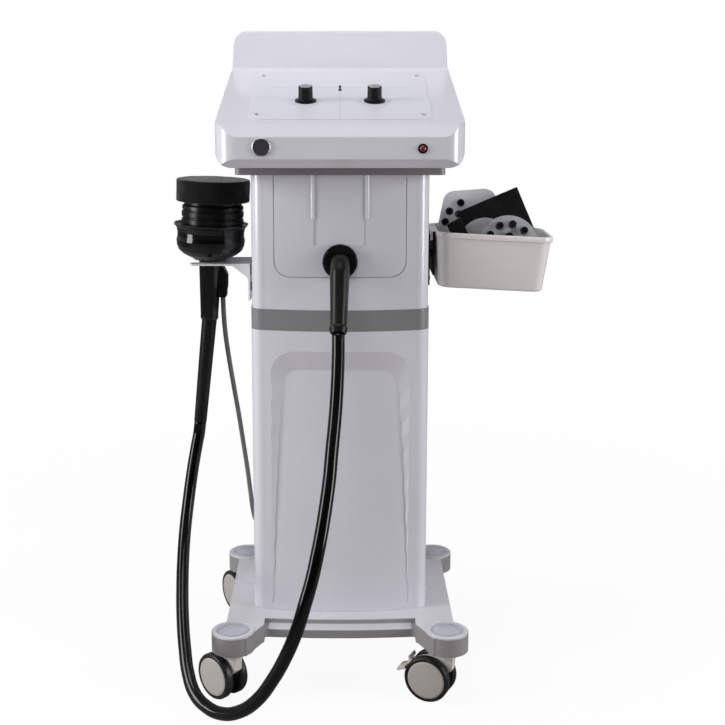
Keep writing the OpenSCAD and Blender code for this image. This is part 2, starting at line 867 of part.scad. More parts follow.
// Points on the hose from the port sleeve to the handpiece sleeve
hose_route = [
    [-2.6, -176.2, 601.2], [-2.7, -193.5, 570.7], [-4.5, -221, 526], [-8, -250, 481], [-12, -274, 445],
    [-15.5, -297, 410], [-20.5, -317, 377], [-26, -335, 346], [-32.5, -350, 315], [-40, -362, 283],
    [-50, -370, 249], [-61, -374, 213], [-76.5, -374, 174], [-97, -368, 133], [-121.5, -357, 95],
    [-148, -342, 70], [-175, -323, 57], [-200, -300, 56], [-220, -275, 64], [-233, -247, 82.5],
    [-241.5, -215, 110], [-248, -180, 141], [-252.5, -142, 175], [-255, -104, 211], [-255, -69, 249],
    [-252, -39, 290], [-247, -13.5, 335], [-240.9, 2.8, 373.7], [-237.4, 6.8, 392], [-235.1, 8, 410.5]
];

// Points on the cable from the switch box to the gland at the back
cable_route = [
    [-193.4, 8, 625.5], [-192.7, 9.5, 596], [-190.8, 13, 564], [-186.7, 20, 524], [-179.8, 31, 469],
    [-173, 45, 415], [-167.3, 62, 360], [-161.8, 79, 305], [-158.2, 93, 260], [-155, 108, 220],
    [-151, 123, 197], [-143, 137, 184], [-132, 147, 181], [-120, 151, 188], [-111, 146, 200],
    [-107, 134, 209], [-106, 118, 212], [-106, 111, 212]
];

function unit(v) = v / norm(v);

// Direction of a route at point i
function heading(route, i) =
    let (last = len(route) - 1)
    unit(route[min(i + 1, last)] - route[max(i - 1, 0)]);

// A tube of one ring at each point of the route
module tube(route, d, sides) {
    count = len(route);
    rings = [
        for (i = [0 : count - 1])
            let (
                t = heading(route, i),
                side = unit(cross(t, [1, 0.2, 0.1])),
                up = cross(side, t)
            )
            for (k = [0 : sides - 1])
                route[i] + d / 2 * (cos(360 * k / sides) * side + sin(360 * k / sides) * up)
    ];
    walls = [
        for (i = [0 : count - 2], k = [0 : sides - 1])
            let (k2 = (k + 1) % sides)
            [i * sides + k, i * sides + k2, (i + 1) * sides + k2, (i + 1) * sides + k]
    ];
    start_cap = [[for (k = [sides - 1 : -1 : 0]) k]];
    end_cap = [[for (k = [0 : sides - 1]) (count - 1) * sides + k]];
    polyhedron(rings, concat(walls, start_cap, end_cap), convexity = 6);
}

module hose() {
    color("black") tube(hose_route, hose_d, 10);
}

module switch_cable() {
    color("lightgray") tube(cable_route, cable_d, 8);
}

// The cable ends in the mouth of the gland
module cable_gland() {
    color("dimgray") translate([cable_gland_x, cab_rear, cable_gland_z]) rotate([-90, 0, 0]) difference() {
        union() {
            translate([0, 0, -wall - 2]) cylinder(r = gland_r, h = wall + 2.1);
            cylinder(r = gland_r + 2, h = 4);
            translate([0, 0, 4]) cylinder(r1 = gland_r, r2 = cable_d / 2 + 1.6, h = 9);
        }
        translate([0, 0, 5]) cylinder(r = cable_d / 2 + rest, h = 10);
    }
}

cable_gland_x = -106;
cable_gland_z = 212;
gland_r = 7;

// Console

slope_run = 303;
slope_y = -con_front + 10;
slope_a = atan((con_slope_h - con_front_h) / slope_run);
panel_y = slope_y + slope_run;
// Lean of the upright panel's face
field_a = atan(7 / (con_h - con_slope_h));

// Side outline of the console in Y and Z, moved in by t
module con_side(t) {
    polygon([
        [-con_front + con_under + 2 + t / 2, t],
        [-con_front + t, con_under + t / 3],
        [-con_front + t, con_front_h - 17 - t / 4],
        [slope_y + t * 0.8, con_front_h - t],
        [panel_y - t, con_slope_h - t],
        [panel_y + 7, con_h - t],
        [panel_y + 9, con_h + 1.5 - t],
        [con_rear - 6, con_h + 1.5 - t],
        [con_rear - 4 - t / 2, con_h - t],
        [con_rear - t, con_slope_h],
        [con_rear - t, con_under],
        [con_rear - 12 - t / 2, t]
    ]);
}

// Side outline of the hollow, which stops under the back panel
module con_hollow_side(t) {
    intersection() {
        con_side(t);
        translate([-con_front, 0]) square([con_front + con_rear, con_slope_h - t]);
    }
}

// Front outline of the console in X and Z, moved in by t
module con_face(t) {
    top_x = con_x - 7;
    top_r = 24;
    low_r = 26;
    top_z = con_h + 2;
    difference() {
        polygon([
            [t - con_x, t], [t - con_x, con_front_h], [t - top_x, top_z - top_r], [t - top_x, top_z],
            [top_x - t, top_z], [top_x - t, top_z - top_r], [con_x - t, con_front_h], [con_x - t, t]
        ]);
        mirror_copy([1, 0]) {
            translate([top_x - t - top_r, top_z - top_r]) difference() {
                square(top_r + 2);
                circle(top_r);
            }
            translate([con_x - t - low_r, t + low_r]) difference() {
                translate([0, -low_r - 2]) square(low_r + 2);
                circle(low_r);
            }
        }
    }
}

module con_plan(t) {
    front_r = 34;
    rear_r = 14;
    x = con_x - t;
    hull() {
        for (s = [-1, 1]) {
            translate([s * (x - front_r), -con_front + t + front_r]) circle(front_r);
            translate([s * (x - rear_r), con_rear - t - rear_r]) circle(rear_r);
        }
    }
}

module con_body(t) {
    intersection() {
        along_x(2 * con_x + 2) con_side(t);
        along_y(2 * (con_front + con_rear)) con_face(t);
        linear_extrude(con_h + 10) con_plan(t);
    }
}

// Frame of the control surface: X across, Y up the slope, Z out of it
module on_slope() {
    translate([0, slope_y, con_z + con_front_h]) rotate([slope_a, 0, 0]) children();
}

plate_y0 = 26;
knob_y = 119;
toggle_y = 178;
plate_screw_x = plate_w / 2 - 13;
plate_screw_y = [plate_y0 + 22, plate_y0 + plate_l - 25];
bush_r = 4.5;
toggle_bush_r = 3;
toggle_bore_r = 2.4;
toggle_drum_r = 1.6;
toggle_tip = 6;
face_z = con_z + 32;
button_x = -117;
lamp_x = 123;
button_r = button_d / 2 - 1.6;

module each_knob() {
    for (s = [-1, 1]) translate([s * knob_gap / 2, knob_y, 0]) children();
}

module plinth() {
    rim = 50;
    color("silver") translate([0, 0, plinth_z]) linear_extrude(plinth_h) difference() {
        round_rect(-plinth_x, -cab_front - 14, plinth_x, cab_rear + 8, 10);
        round_rect(rim - plinth_x, rim - cab_front, plinth_x - rim, cab_rear - rim, 8);
    }
}

module console_shell() {
    color("white") difference() {
        translate([0, 0, con_z]) difference() {
            con_body(0);
            intersection() {
                along_x(2 * con_x) con_hollow_side(con_wall);
                along_y(2 * (con_front + con_rear)) con_face(con_wall);
                linear_extrude(con_h) con_plan(con_wall);
            }
            // Shallow field on the upright panel
            intersection() {
                translate([-con_x, panel_y - 6, con_slope_h + 3]) rotate([field_a, 0, 0])
                    translate([0, -20, 0]) cube([2 * con_x, 21, con_h]);
                along_y(2 * (con_front + con_rear)) round_rect(16 - con_x, con_slope_h - 40, con_x - 16, con_h - 8, 18);
            }
        }
        on_slope() {
            each_knob() translate([0, 0, -con_wall - 3]) cylinder(r = bush_r + press, h = con_wall + 4);
            translate([0, toggle_y, -con_wall - 3]) cylinder(r = toggle_bush_r + press, h = con_wall + 4);
        }
        translate([button_x, -con_front, face_z]) rotate([90, 0, 0])
            cylinder(r = button_d / 2 - 1 + press, h = 20, center = true);
        translate([lamp_x, -con_front, face_z - 2]) rotate([90, 0, 0])
            cylinder(r = lamp_d / 2 - 1 + press, h = 20, center = true);
        at_plate_screws() screw_hole();
    }
}

module control_plate() {
    color("gainsboro") difference() {
        on_slope() difference() {
            linear_extrude(plate_t) round_rect(-plate_w / 2, plate_y0, plate_w / 2, plate_y0 + plate_l, 22);
            each_knob() translate([0, 0, -1]) cylinder(r = bush_r + press, h = plate_t + 2);
            translate([0, toggle_y, -1]) cylinder(r = toggle_bush_r + press, h = plate_t + 2);
        }
        at_plate_screws() screw_hole();
    }
}

// Timer and speed control bodies with their bushings
module potentiometers() {
    color("dimgray") on_slope() {
        each_knob() difference() {
            union() {
                translate([0, 0, -con_wall - 14]) cylinder(r = 12, h = 14);
                translate([0, 0, -con_wall - 1]) cylinder(r = bush_r, h = con_wall + plate_t + 1);
            }
            translate([0, 0, -con_wall - 10]) cylinder(r = pot_shaft_d / 2 + run, h = 40);
        }
        translate([0, toggle_y, 0]) difference() {
            union() {
                translate([0, 0, -con_wall - 10]) translate([-4, -6, 0]) cube([8, 12, 10]);
                translate([0, 0, -con_wall - 1]) cylinder(r = toggle_bush_r, h = con_wall + plate_t + 2);
            }
            translate([0, 0, -con_wall - 6]) cylinder(r = toggle_bore_r, h = 40);
        }
    }
}

module knob(s) {
    color("black") on_slope() translate([s * knob_gap / 2, knob_y, plate_t + rest]) difference() {
        union() {
            rotate_extrude() polygon([
                [0, 0], [skirt_d / 2, 0], [skirt_d / 2, 1.5], [knob_d / 2 + 1, 2.8], [knob_d / 2, 3.4],
                [knob_d / 2 - 0.5, knob_h - 1], [knob_d / 2 - 1.5, knob_h], [0, knob_h]
            ]);
            translate([0, 0, -plate_t - rest - con_wall - 6])
                cylinder(d = pot_shaft_d, h = plate_t + rest + con_wall + 7);
        }
        // Pointer groove on the skirt and up the side
        translate([-0.6, knob_d / 2 - 2, 1]) cube([1.2, skirt_d / 2, knob_h]);
    }
}

module toggle_lever() {
    color("black") on_slope() translate([0, toggle_y, 0]) {
        translate([0, 0, -con_wall - 4]) cylinder(r = 1.2, h = con_wall + 4 + plate_t + toggle_tip);
        // Drum on which the lever tips in its bush
        translate([0, 0, -con_wall]) rotate([0, 90, 0]) cylinder(
            r = toggle_drum_r, h = 2 * sqrt(pow(toggle_bore_r - run, 2) - pow(toggle_drum_r, 2)), center = true
        );
        translate([0, 0, plate_t + toggle_tip - 3]) rotate_extrude()
            polygon([[0, 0], [1.2, 0], [2, 2.8], [1.8, 4], [1, 4.9], [0, 5]]);
    }
}

module start_ring() {
    color("silver") translate([button_x, -con_front, face_z]) rotate([90, 0, 0]) difference() {
        union() {
            rotate_extrude($fn = 96) polygon([
                [0, 0], [button_d / 2, 0], [button_d / 2, 1.2], [button_d / 2 - 0.9, 2.4], [0, 2.4]
            ]);
            translate([0, 0, -12]) cylinder(r = button_d / 2 - 1, h = 13);
        }
        translate([0, 0, -10]) cylinder(r = button_r + run, h = 20);
        translate([0, 0, -14]) cylinder(r = 3 + run, h = 20);
    }
}

module start_button() {
    color("dimgray") translate([button_x, -con_front, face_z]) rotate([90, 0, 0]) {
        translate([0, 0, -10 + button_travel + rest]) cylinder(r = button_r, h = 10 - button_travel - rest + 1.8);
        translate([0, 0, -12]) cylinder(r = 3, h = 12);
    }
}

module lamp_ring() {
    color("black") translate([lamp_x, -con_front, face_z - 2]) rotate([90, 0, 0]) difference() {
        union() {
            cylinder(r1 = lamp_d / 2 + 1, r2 = lamp_d / 2 + 0.4, h = 1.5);
            translate([0, 0, -10]) cylinder(r = lamp_d / 2 - 1, h = 11);
        }
        translate([0, 0, -8]) cylinder(r = lamp_d / 2 - 2 + press, h = 20);
    }
}

module lamp_lens() {
    r = lamp_d / 2 - 2;
    color("darkred") translate([lamp_x, -con_front, face_z - 2]) rotate([90, 0, 0]) {
        translate([0, 0, -8 + press]) cylinder(r = r, h = 10);
        translate([0, 0, 2]) intersection() {
            translate([0, 0, 2.5 - arc_radius(r, 2.5)]) sphere(arc_radius(r, 2.5));
            cylinder(r = r, h = 4);
        }
    }
}

// Holder on the left side

holder_z = upper_z + holder_h;
holder_y0 = tool_y - holder_depth / 2;
holder_screw_y = [holder_y0 + 12, holder_y0 + holder_depth - 12];
holder_screw_z = [holder_z - holder_leg + 10, holder_z - holder_leg + 36];

module holder() {
    side = -upper_w / 2;
    face = side - standoff - sheet_t;
    gusset_x = 26;
    gusset_z = 21;
    color("whitesmoke") difference() {
        union() {
            // Plate with the slot open to the left
            translate([side - holder_reach, holder_y0, holder_z - sheet_t])
                linear_extrude(sheet_t) round_rect(0, 0, holder_reach - standoff - sheet_t, holder_depth, 5);
            translate([face - 10, holder_y0, holder_z - sheet_t]) cube([10 + sheet_t, holder_depth, sheet_t]);
            translate([face, holder_y0, holder_z - holder_leg]) cube([sheet_t, holder_depth, holder_leg]);
            for (y = [holder_y0 + sheet_t / 2, holder_y0 + holder_depth - sheet_t / 2])
                translate([face, y, holder_z - sheet_t]) along_y(sheet_t)
                    polygon([[0.5, 0.5], [-gusset_x, 0.5], [0.5, -gusset_z]]);
            for (y = holder_screw_y, z = holder_screw_z) translate([side, y, z])
                rotate([0, -90, 0]) cylinder(r = 6, h = standoff + 1);
        }
        translate([-tool_x, tool_y, holder_z - sheet_t - 1]) {
            cylinder(d = slot_w, h = sheet_t + 2);
            translate([-200, -slot_w / 2, 0]) cube([200, slot_w, sheet_t + 2]);
        }
        at_holder_screws() screw_hole();
    }
}

// Handpiece, drawn on its own axis with z = 0 at the top of the holder plate

cup_lift = 0.3;
cup_rim_z = 62;
cup_wall = 3;
cup_flare = 5;
ring_z0 = 58;
ring_z1 = 93;
plate_z1 = 98;
box_z1 = -6;
box_y = 22;
sleeve_lean = 4;
// The tip of the sleeve clears the end of the hose by this much while the handpiece slides out
tip_lift = 2.4;

module at_tool() {
    translate([-tool_x, tool_y, holder_z]) rotate([0, tool_lean, 0]) children();
}

// Profile of the cup in radius and height, moved in by t
function cup_outline(t) =
    let (r = cup_d / 2 - t)
    [
        [handle_d / 2 - t, cup_lift - 6 + t], [handle_d / 2 - t, cup_lift + t / 2],
        [slot_w / 2 + 1 - t, cup_lift + 1 + t], [r - 23 + t / 2, cup_lift + 6 + t],
        [r - 12 + t / 2, cup_lift + 11.5 + t], [r - 4.5 + t / 3, cup_lift + 18 + t], [r - 1, cup_lift + 26 + t / 2],
        [r, cup_lift + 34], [r - 1.5, cup_lift + 41], [r - 1.5, cup_rim_z - 14], [r + 0.5, cup_rim_z - 6],
        [r + cup_flare - 1, cup_rim_z - 2.5], [r + cup_flare, cup_rim_z]
    ];

module cup_housing() {
    color("black") at_tool() difference() {
        rotate_extrude($fn = 128) polygon(concat([[0, cup_lift - 6]], cup_outline(0), [[0, cup_rim_z]]));
        rotate_extrude($fn = 128) polygon(concat([[0, cup_lift + 13]], [
            for (p = cup_outline(cup_wall)) if (p[1] > cup_lift + 13) p
        ], [[cup_d / 2 + cup_flare - cup_wall, cup_rim_z + 1], [0, cup_rim_z + 1]]));
        translate([0, 0, -20]) cylinder(r = bearing_r + press, h = 60);
        // Finger notches in the rim
        for (s = [0, 180]) rotate(s) translate([cup_d / 2, 0, cup_rim_z]) rotate([0, 90, 0])
            cylinder(r = 7, h = 20, center = true);
    }
}

bearing_r = 13;
ring_wall = 4;

// Rubber boot: its foot is held in the cup, its ribbed neck stands over the crank
module neck_ring() {
    r = ring_d / 2;
    hold_r = cup_d / 2 - 1.5 - cup_wall - press;
    groove = 2;
    color("black") at_tool() difference() {
        union() {
            translate([0, 0, ring_z0 - 8]) cylinder(r = hold_r, h = 5);
            translate([throw, 0, 0]) rotate_extrude($fn = 128) polygon([
                [0, ring_z0 - 4], [hold_r - throw - 1, ring_z0 - 4], [r - groove, ring_z0 + 1], [r - groove, ring_z0 + 3],
                [r, ring_z0 + 4], [r, ring_z0 + 12], [r - groove, ring_z0 + 13], [r - groove, ring_z0 + 15],
                [r, ring_z0 + 16], [r, ring_z0 + 24], [r - groove, ring_z0 + 25], [r - groove, ring_z0 + 27],
                [r - 0.5, ring_z0 + 28], [r - 1, ring_z1 - 2], [r - 4, ring_z1], [0, ring_z1]
            ]);
        }
        translate([throw, 0, ring_z0 - 9]) cylinder(r = r - ring_wall - 5, h = ring_z1 - ring_z0 + 2);
        translate([throw, 0, ring_z0]) cylinder(r = plug_r + 0.1, h = 60);
    }
}

plug_r = 16;

// Rigid disc that carries the foam pad and plugs into the boot
module pad_plate() {
    color("dimgray") at_tool() translate([throw, 0, 0]) difference() {
        union() {
            translate([0, 0, ring_z1 + rest]) cylinder(d = ring_d - 8, h = plate_z1 - ring_z1 - rest);
            translate([0, 0, ring_z1 - 12]) cylinder(r = plug_r, h = 14);
        }
        // Room for the crank pin, which swings by twice its offset
        translate([0, 0, ring_z1 - 13]) cylinder(r = spindle_d / 2 + 2 * throw + 0.5, h = 12);
    }
}

module foam_pad() {
    r = foam_d / 2;
    color("darkslategray") at_tool() translate([throw, 0, plate_z1]) rotate_extrude($fn = 128) polygon([
        [0, 0], [r - 1.5, 0], [r, 1.5], [r, foam_t - 2], [r - 2, foam_t], [0, foam_t]
    ]);
}

module handle() {
    color("black") at_tool() difference() {
        union() {
            translate([0, 0, -handle_l + 5])
                cylinder(d1 = handle_tip_d, d2 = handle_d, h = handle_l + cup_lift - 11 - rest / 10);
            translate([0, 0, -handle_l]) cylinder(d1 = handle_tip_d - 2, d2 = handle_tip_d + 1.5, h = 5);
        }
        translate([0, 0, -handle_l - 1]) cylinder(r = 11 + press, h = 22);
        translate([0, 0, -handle_l + 10]) cylinder(r = bearing_r - 4, h = handle_l);
        translate([0, 0, cup_lift - 6 - 22]) cylinder(r = bearing_r + press, h = 40);
        translate([-0.1, 0, 0]) box_cut(press);
    }
}

// Solid that the switch box takes from the handle
module box_cut(gap) {
    translate([14.5 - gap, -box_y / 2 - gap, box_z1 - box_l - gap])
        cube([box_x - 14.5 + 2 * gap, box_y + 2 * gap, box_l + 2 * gap]);
}

module switch_box() {
    color("black") at_tool() difference() {
        translate([0, 0, box_z1 - box_l]) along_y(box_y) polygon([
            [14.5, 0], [box_x - 2, 0], [box_x, 2], [box_x, box_l - 14], [box_x - 8, box_l], [14.5, box_l]
        ]);
        translate([box_x - 4, 0, trigger_z]) cube([9, trigger_w + 2 * run, trigger_l + 2 * run], center = true);
    }
}

trigger_w = 10;
trigger_l = 22;
trigger_z = box_z1 - box_l / 2;
trigger_travel = 1.5;

module trigger() {
    color("gray") at_tool() translate([box_x + 1.5 - 5 / 2 - 0.5, 0, trigger_z])
        cube([6, trigger_w, trigger_l], center = true);
}

// Spindle with its crank and counterweight
module spindle() {
    color("silver") at_tool() {
        translate([0, 0, -handle_l + 24]) cylinder(d = spindle_d, h = handle_l - 24 + 40);
        translate([throw, 0, 40]) cylinder(d = spindle_d, h = ring_z1 - 4 - 40);
        translate([0, 0, 32]) intersection() {
            cylinder(r = 34, h = 9);
            translate([-60, -60, 0]) cube([60 + spindle_d / 2, 120, 20]);
        }
    }
}

module spindle_bearings() {
    color("silver") at_tool() for (z = [-26, 3]) translate([0, 0, z + cup_lift]) ring(bearing_r, spindle_d / 2 + run, 8);
}

module hand_sleeve() {
    tip_r = hose_d / 2 + 0.5;
    color("darkslategray") at_tool() translate([0, 0, -handle_l]) rotate([0, sleeve_lean, 0]) difference() {
        union() {
            translate([0, 0, tip_lift - sleeve_l]) cylinder(r1 = tip_r, r2 = 12.4, h = sleeve_l - tip_lift - 1);
            translate([0, 0, -3]) cylinder(r = 10.4, h = 10);
        }
        translate([0, 0, -sleeve_l + 30]) cylinder(r = 7, h = sleeve_l + 20);
    }
}

// Accessory tray on the right side

rail_t = 3.5;
rail_gap = 4.6;
rail_z1 = upper_z + tray_top - 2;
rail_z0 = rail_z1 - 78;
rail_y0 = -45;
rail_w = 100;
rail_screw_y = [rail_y0 + 14, rail_y0 + rail_w - 14];
rail_screw_z = rail_z0 + 2;
rail_x1 = upper_w / 2 + rail_t + rail_gap + rail_t;
tray_x = rail_x1 + 1.4;
tray_yc = 3;

module tray_rail() {
    side = upper_w / 2;
    spacer_h = 12;
    color("black") difference() {
        union() {
            translate([side, rail_y0, rail_z0 - 8]) cube([rail_t, rail_w, rail_z1 - rail_z0 + 4]);
            translate([side, rail_y0, rail_z1 - 40]) cube([2 * rail_t + rail_gap, rail_w, spacer_h]);
            translate([side + rail_t + rail_gap, rail_y0, rail_z0 + 8]) cube([rail_t, rail_w, rail_z1 - rail_z0 - 8]);
        }
        at_rail_screws() screw_hole();
    }
}

module at_tray() {
    translate([tray_x, tray_yc, upper_z + tray_top]) rotate([0, tray_droop, 0]) children();
}

// Rounded block that narrows downwards, its top at z = 0, moved in by t
module tray_form(t, depth) {
    slice = 0.1;
    hull() {
        translate([0, 0, -slice]) linear_extrude(slice)
            round_rect(t, -tray_depth / 2 + t, tray_w - t, tray_depth / 2 - t, tray_r - t);
        translate([0, 0, -depth + t]) linear_extrude(slice)
            round_rect(tray_draft + t, -tray_depth / 2 + tray_draft + t,
                tray_w - tray_draft - t, tray_depth / 2 - tray_draft - t, tray_r - t);
    }
}

module tray() {
    lip = 2;
    hook_y = rail_w - 2;
    inner = tray_wall + 0.5;
    color("ivory") {
        at_tray() difference() {
            union() {
                translate([0, 0, -1]) tray_form(0, tray_h - 1);
                translate([0, 0, -9]) linear_extrude(9) difference() {
                    round_rect(-0.5, -tray_depth / 2 - lip, tray_w + lip, tray_depth / 2 + lip, tray_r + lip);
                    round_rect(inner, -tray_depth / 2 + inner, tray_w - inner, tray_depth / 2 - inner, tray_r - inner);
                }
            }
            translate([0, 0, 0.05]) tray_form(tray_wall, tray_h);
        }
        // Hook over the rail
        translate([upper_w / 2 + rail_t + 0.4, rail_y0 + 1, rail_z1 + rest]) {
            cube([tray_x - upper_w / 2 - rail_t + 1.5, hook_y, 1.6]);
            translate([0, 0, -14]) cube([rail_gap - 0.8, hook_y, 15]);
        }
    }
}

// What lies in the tray, in the tray's frame

tray_floor = -tray_h + tray_wall;
flat_head_t = 20;
stack_z = tray_floor + flat_head_t + rest;
flat_head_at = [92, -3];
head_r = head_d / 2;

// Places a disc that stands on its edge: x and y of its middle, lean back, turn
module standing_disc(x, y, r, lean, turn) {
    translate([x, y, stack_z + r * cos(lean) + 0.4]) rotate([90 - lean, 0, turn]) children();
}

module at_head_a() {
    standing_disc(119, -28, head_r, 16, 0) children();
}

module at_head_b() {
    standing_disc(84, -9.2, head_r - 4, 16, 0) children();
}

module at_pad() {
    translate([0, 36, stack_z + 1]) rotate([-4, 0, 0]) children();
}

module head_plates() {
    color("gray") at_tray() {
        translate([flat_head_at[0], flat_head_at[1], tray_floor + rest])
            cylinder(r = head_r, h = flat_head_t - rest, $fn = 96);
        at_head_a() cylinder(r = head_r, h = head_t, $fn = 96);
        at_head_b() cylinder(r = head_r - 4, h = head_t, $fn = 96);
    }
}

module nub() {
    cylinder(r1 = 6.5, r2 = 5, h = nub_l);
}

module nub_circle(r, count, start) {
    for (i = [0 : count - 1]) rotate(start + 360 * i / count) translate([r, 0, 0]) nub();
}

pad_t = 8;
pad_r = 20;

// Soft-cornered pad that stands at the back of the tray
module spotted_pad() {
    color("lightgray") at_tray() at_pad() translate([0, pad_t / 2, 0]) along_y(pad_t)
        offset(r = pad_r) polygon([
            [36, pad_r], [28, 50], [36, pad_h - pad_r - 6], [84, pad_h - pad_r], [84, pad_r]
        ]);
}

module head_nubs() {
    color("black") at_tray() {
        at_head_a() translate([0, 0, head_t]) {
            nub_circle(34, 10, 82);
            nub_circle(14, 4, 0);
        }
        at_pad() for (p = [[45, 104], [27, 89], [43, 85], [21, 71]])
            translate([p[0], 0, p[1]]) rotate([90, 0, 0]) cylinder(r1 = 6.5, r2 = 5, h = 4.5);
    }
}

module foam_blocks() {
    color("dimgray") at_tray() {
        // Large block, turned in its own plane and leaning back
        translate([80, 6, stack_z + rest + block_t * sin(8)]) rotate([-8, 0, 0]) rotate([0, -26, 0]) cube([block_w, block_t, block_h]);
        // Small block, its corner on the flat head
        translate([60.4, -41, stack_z + rest]) rotate([0, -30, 0]) cube([25, slab_t, slab_h]);
    }
}

base_frame();
boss_caps();
caster_stems();
at_caster(-1, -1, front_left_turn) caster(false);  // caster_front_left
at_caster(1, -1, front_right_turn) caster(true);  // caster_front_right
at_caster(-1, 1, rear_left_turn) caster(false);  // caster_rear_left
at_caster(1, 1, rear_right_turn) caster(false);  // caster_rear_right
at_caster(-1, -1, front_left_turn) wheels();  // wheels_front_left
at_caster(1, -1, front_right_turn) wheels();  // wheels_front_right
at_caster(-1, 1, rear_left_turn) wheels();  // wheels_rear_left
at_caster(1, 1, rear_right_turn) wheels();  // wheels_rear_right
at_caster(-1, -1, front_left_turn) discs();  // discs_front_left
at_caster(1, -1, front_right_turn) discs();  // discs_front_right
at_caster(-1, 1, rear_left_turn) discs();  // discs_rear_left
at_caster(1, 1, rear_right_turn) discs();  // discs_rear_right
at_caster(1, -1, front_right_turn) brake();
lower_cabinet();
grey_band();
upper_cabinet();
front_cover();
rear_cover();
screws();
mains_inlet();
motor_shelf();
motor();
drive_coupling();
control_board();
hose_port();
port_sleeve();
hose();
plinth();
console_shell();
control_plate();
potentiometers();
knob(-1);  // knob_left
knob(1);  // knob_right
toggle_lever();
start_ring();
start_button();
lamp_ring();
lamp_lens();
holder();
cup_housing();
neck_ring();
pad_plate();
foam_pad();
handle();
switch_box();
trigger();
spindle();
spindle_bearings();
hand_sleeve();
switch_cable();
cable_gland();
tray_rail();
tray();
foam_blocks();
head_plates();
spotted_pad();
head_nubs();
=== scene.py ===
# %% [markdown]
# # A trolley massage machine, dressed for a product photograph
# The solids of this machine come from a CAD model: cabinet, base, casters, console, handpiece and tray.
# They are loaded once as a fixed frame. Everything made here sits on that frame, in metres, with +X to the
# right, -Y towards the viewer and +Z up. What Blender adds is what solids lack: finishes, soft foam, the
# hose and the cable.

# %% Load the frame
import json
from math import radians, sin

import bmesh
import bpy
from mathutils import Matrix, Vector, noise


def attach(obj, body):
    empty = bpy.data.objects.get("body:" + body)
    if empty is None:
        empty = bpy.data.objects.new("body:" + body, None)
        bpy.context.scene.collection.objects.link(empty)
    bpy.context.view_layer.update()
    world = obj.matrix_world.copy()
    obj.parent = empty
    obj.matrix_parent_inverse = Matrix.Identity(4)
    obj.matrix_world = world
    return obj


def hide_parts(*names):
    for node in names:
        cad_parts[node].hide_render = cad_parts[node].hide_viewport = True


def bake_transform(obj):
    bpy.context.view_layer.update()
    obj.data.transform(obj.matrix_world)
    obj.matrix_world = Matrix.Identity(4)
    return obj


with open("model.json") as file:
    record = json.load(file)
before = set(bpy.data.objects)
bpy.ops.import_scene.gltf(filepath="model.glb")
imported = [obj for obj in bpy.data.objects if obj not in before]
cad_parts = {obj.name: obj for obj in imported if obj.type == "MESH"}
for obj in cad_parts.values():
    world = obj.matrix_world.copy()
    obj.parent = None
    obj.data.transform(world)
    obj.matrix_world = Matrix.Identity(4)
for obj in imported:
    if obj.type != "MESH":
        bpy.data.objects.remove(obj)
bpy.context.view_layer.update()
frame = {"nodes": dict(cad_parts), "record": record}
nodes = frame["nodes"]

# %% [markdown]
# ## Camera
# The photograph was taken from the front, a little above the middle of the machine and tipped down by about
# ten degrees. A lens of about 65 mm on a 36 mm sensor gives the same perspective. A small lens shift puts
# the machine where it stands in the picture, so the camera itself doesn't have to turn away from it.

# %% Camera
cam_data = bpy.data.cameras.new("camera")
camera = bpy.data.objects.new("camera", cam_data)
bpy.context.scene.collection.objects.link(camera)
camera.location = (0, -2.1065, 1.0035)
tipped_down = 10.5
camera.rotation_euler = (radians(90 - tipped_down), 0, 0)
cam_data.sensor_width = 36
cam_data.lens = 64.55
cam_data.shift_x = 0.031
cam_data.shift_y = -0.0794
bpy.context.scene.camera = camera
bpy.context.scene.view_settings.view_transform = "Standard"
print("camera at", tuple(round(v, 3) for v in camera.location), "lens", cam_data.lens)

# %% [markdown]
# ## Helpers for pieces
# A finished piece has its object at the origin and its shape in the mesh, as a CAD node has. So each bmesh
# is moved to its place before it becomes an object, and the object rides on a CAD body from there.

# %% Turning a bmesh into a piece
tolerance = 1e-6


def piece(name, bm, material, smooth=True, weld=True):
    if weld:
        bmesh.ops.remove_doubles(bm, verts=bm.verts, dist=tolerance)
        bmesh.ops.recalc_face_normals(bm, faces=bm.faces)
    mesh = bpy.data.meshes.new(name)
    bm.to_mesh(mesh)
    bm.free()
    for polygon in mesh.polygons:
        polygon.use_smooth = smooth
    mesh.materials.append(material)
    obj = bpy.data.objects.new(name, mesh)
    bpy.context.scene.collection.objects.link(obj)
    print(f"{name}: {len(mesh.polygons)} faces")
    return obj


def sharp_beyond(obj, angle):
    """Keeps edges crisp where the surface turns by more than angle, in degrees."""
    obj.data.set_sharp_from_angle(angle=radians(angle))
    return obj


def bevel_edges(bm, edges, width, segments):
    return bmesh.ops.bevel(
        bm, geom=edges, offset=width, segments=segments, profile=0.5, affect="EDGES",
        offset_type="OFFSET", clamp_overlap=True, material=-1,
    )


def rise(edge):
    """How far an edge climbs from one end to the other."""
    return abs(edge.verts[0].co.z - edge.verts[1].co.z)


def stretch_cube(corners, low, high):
    """Moves the corners of a cube round the origin to those of a box."""
    for v in corners:
        for axis in range(3):
            v.co[axis] = (low, high)[v.co[axis] > 0][axis]


# %% Places and sizes from the CAD model
# The control surface rises away from the front, the handpiece leans a little and so does the tray.
console_slope, tool_lean, tray_lean = radians(15.319), radians(2), radians(3)
slope_place = Matrix.Translation((0, -0.158, 0.914)) @ Matrix.Rotation(console_slope, 4, "X")
tool_place = Matrix.Translation((-0.213, 0.008, 0.686)) @ Matrix.Rotation(tool_lean, 4, "Y")
tray_place = Matrix.Translation((0.1535, 0.003, 0.742)) @ Matrix.Rotation(tray_lean, 4, "Y")
crank_throw = 0.0025
small_gap = 0.0003
film_thickness, knob_height = 0.001, 0.024
tray_w, tray_d, tray_h, tray_wall, lip = 0.185, 0.130, 0.090, 0.0025, 0.002

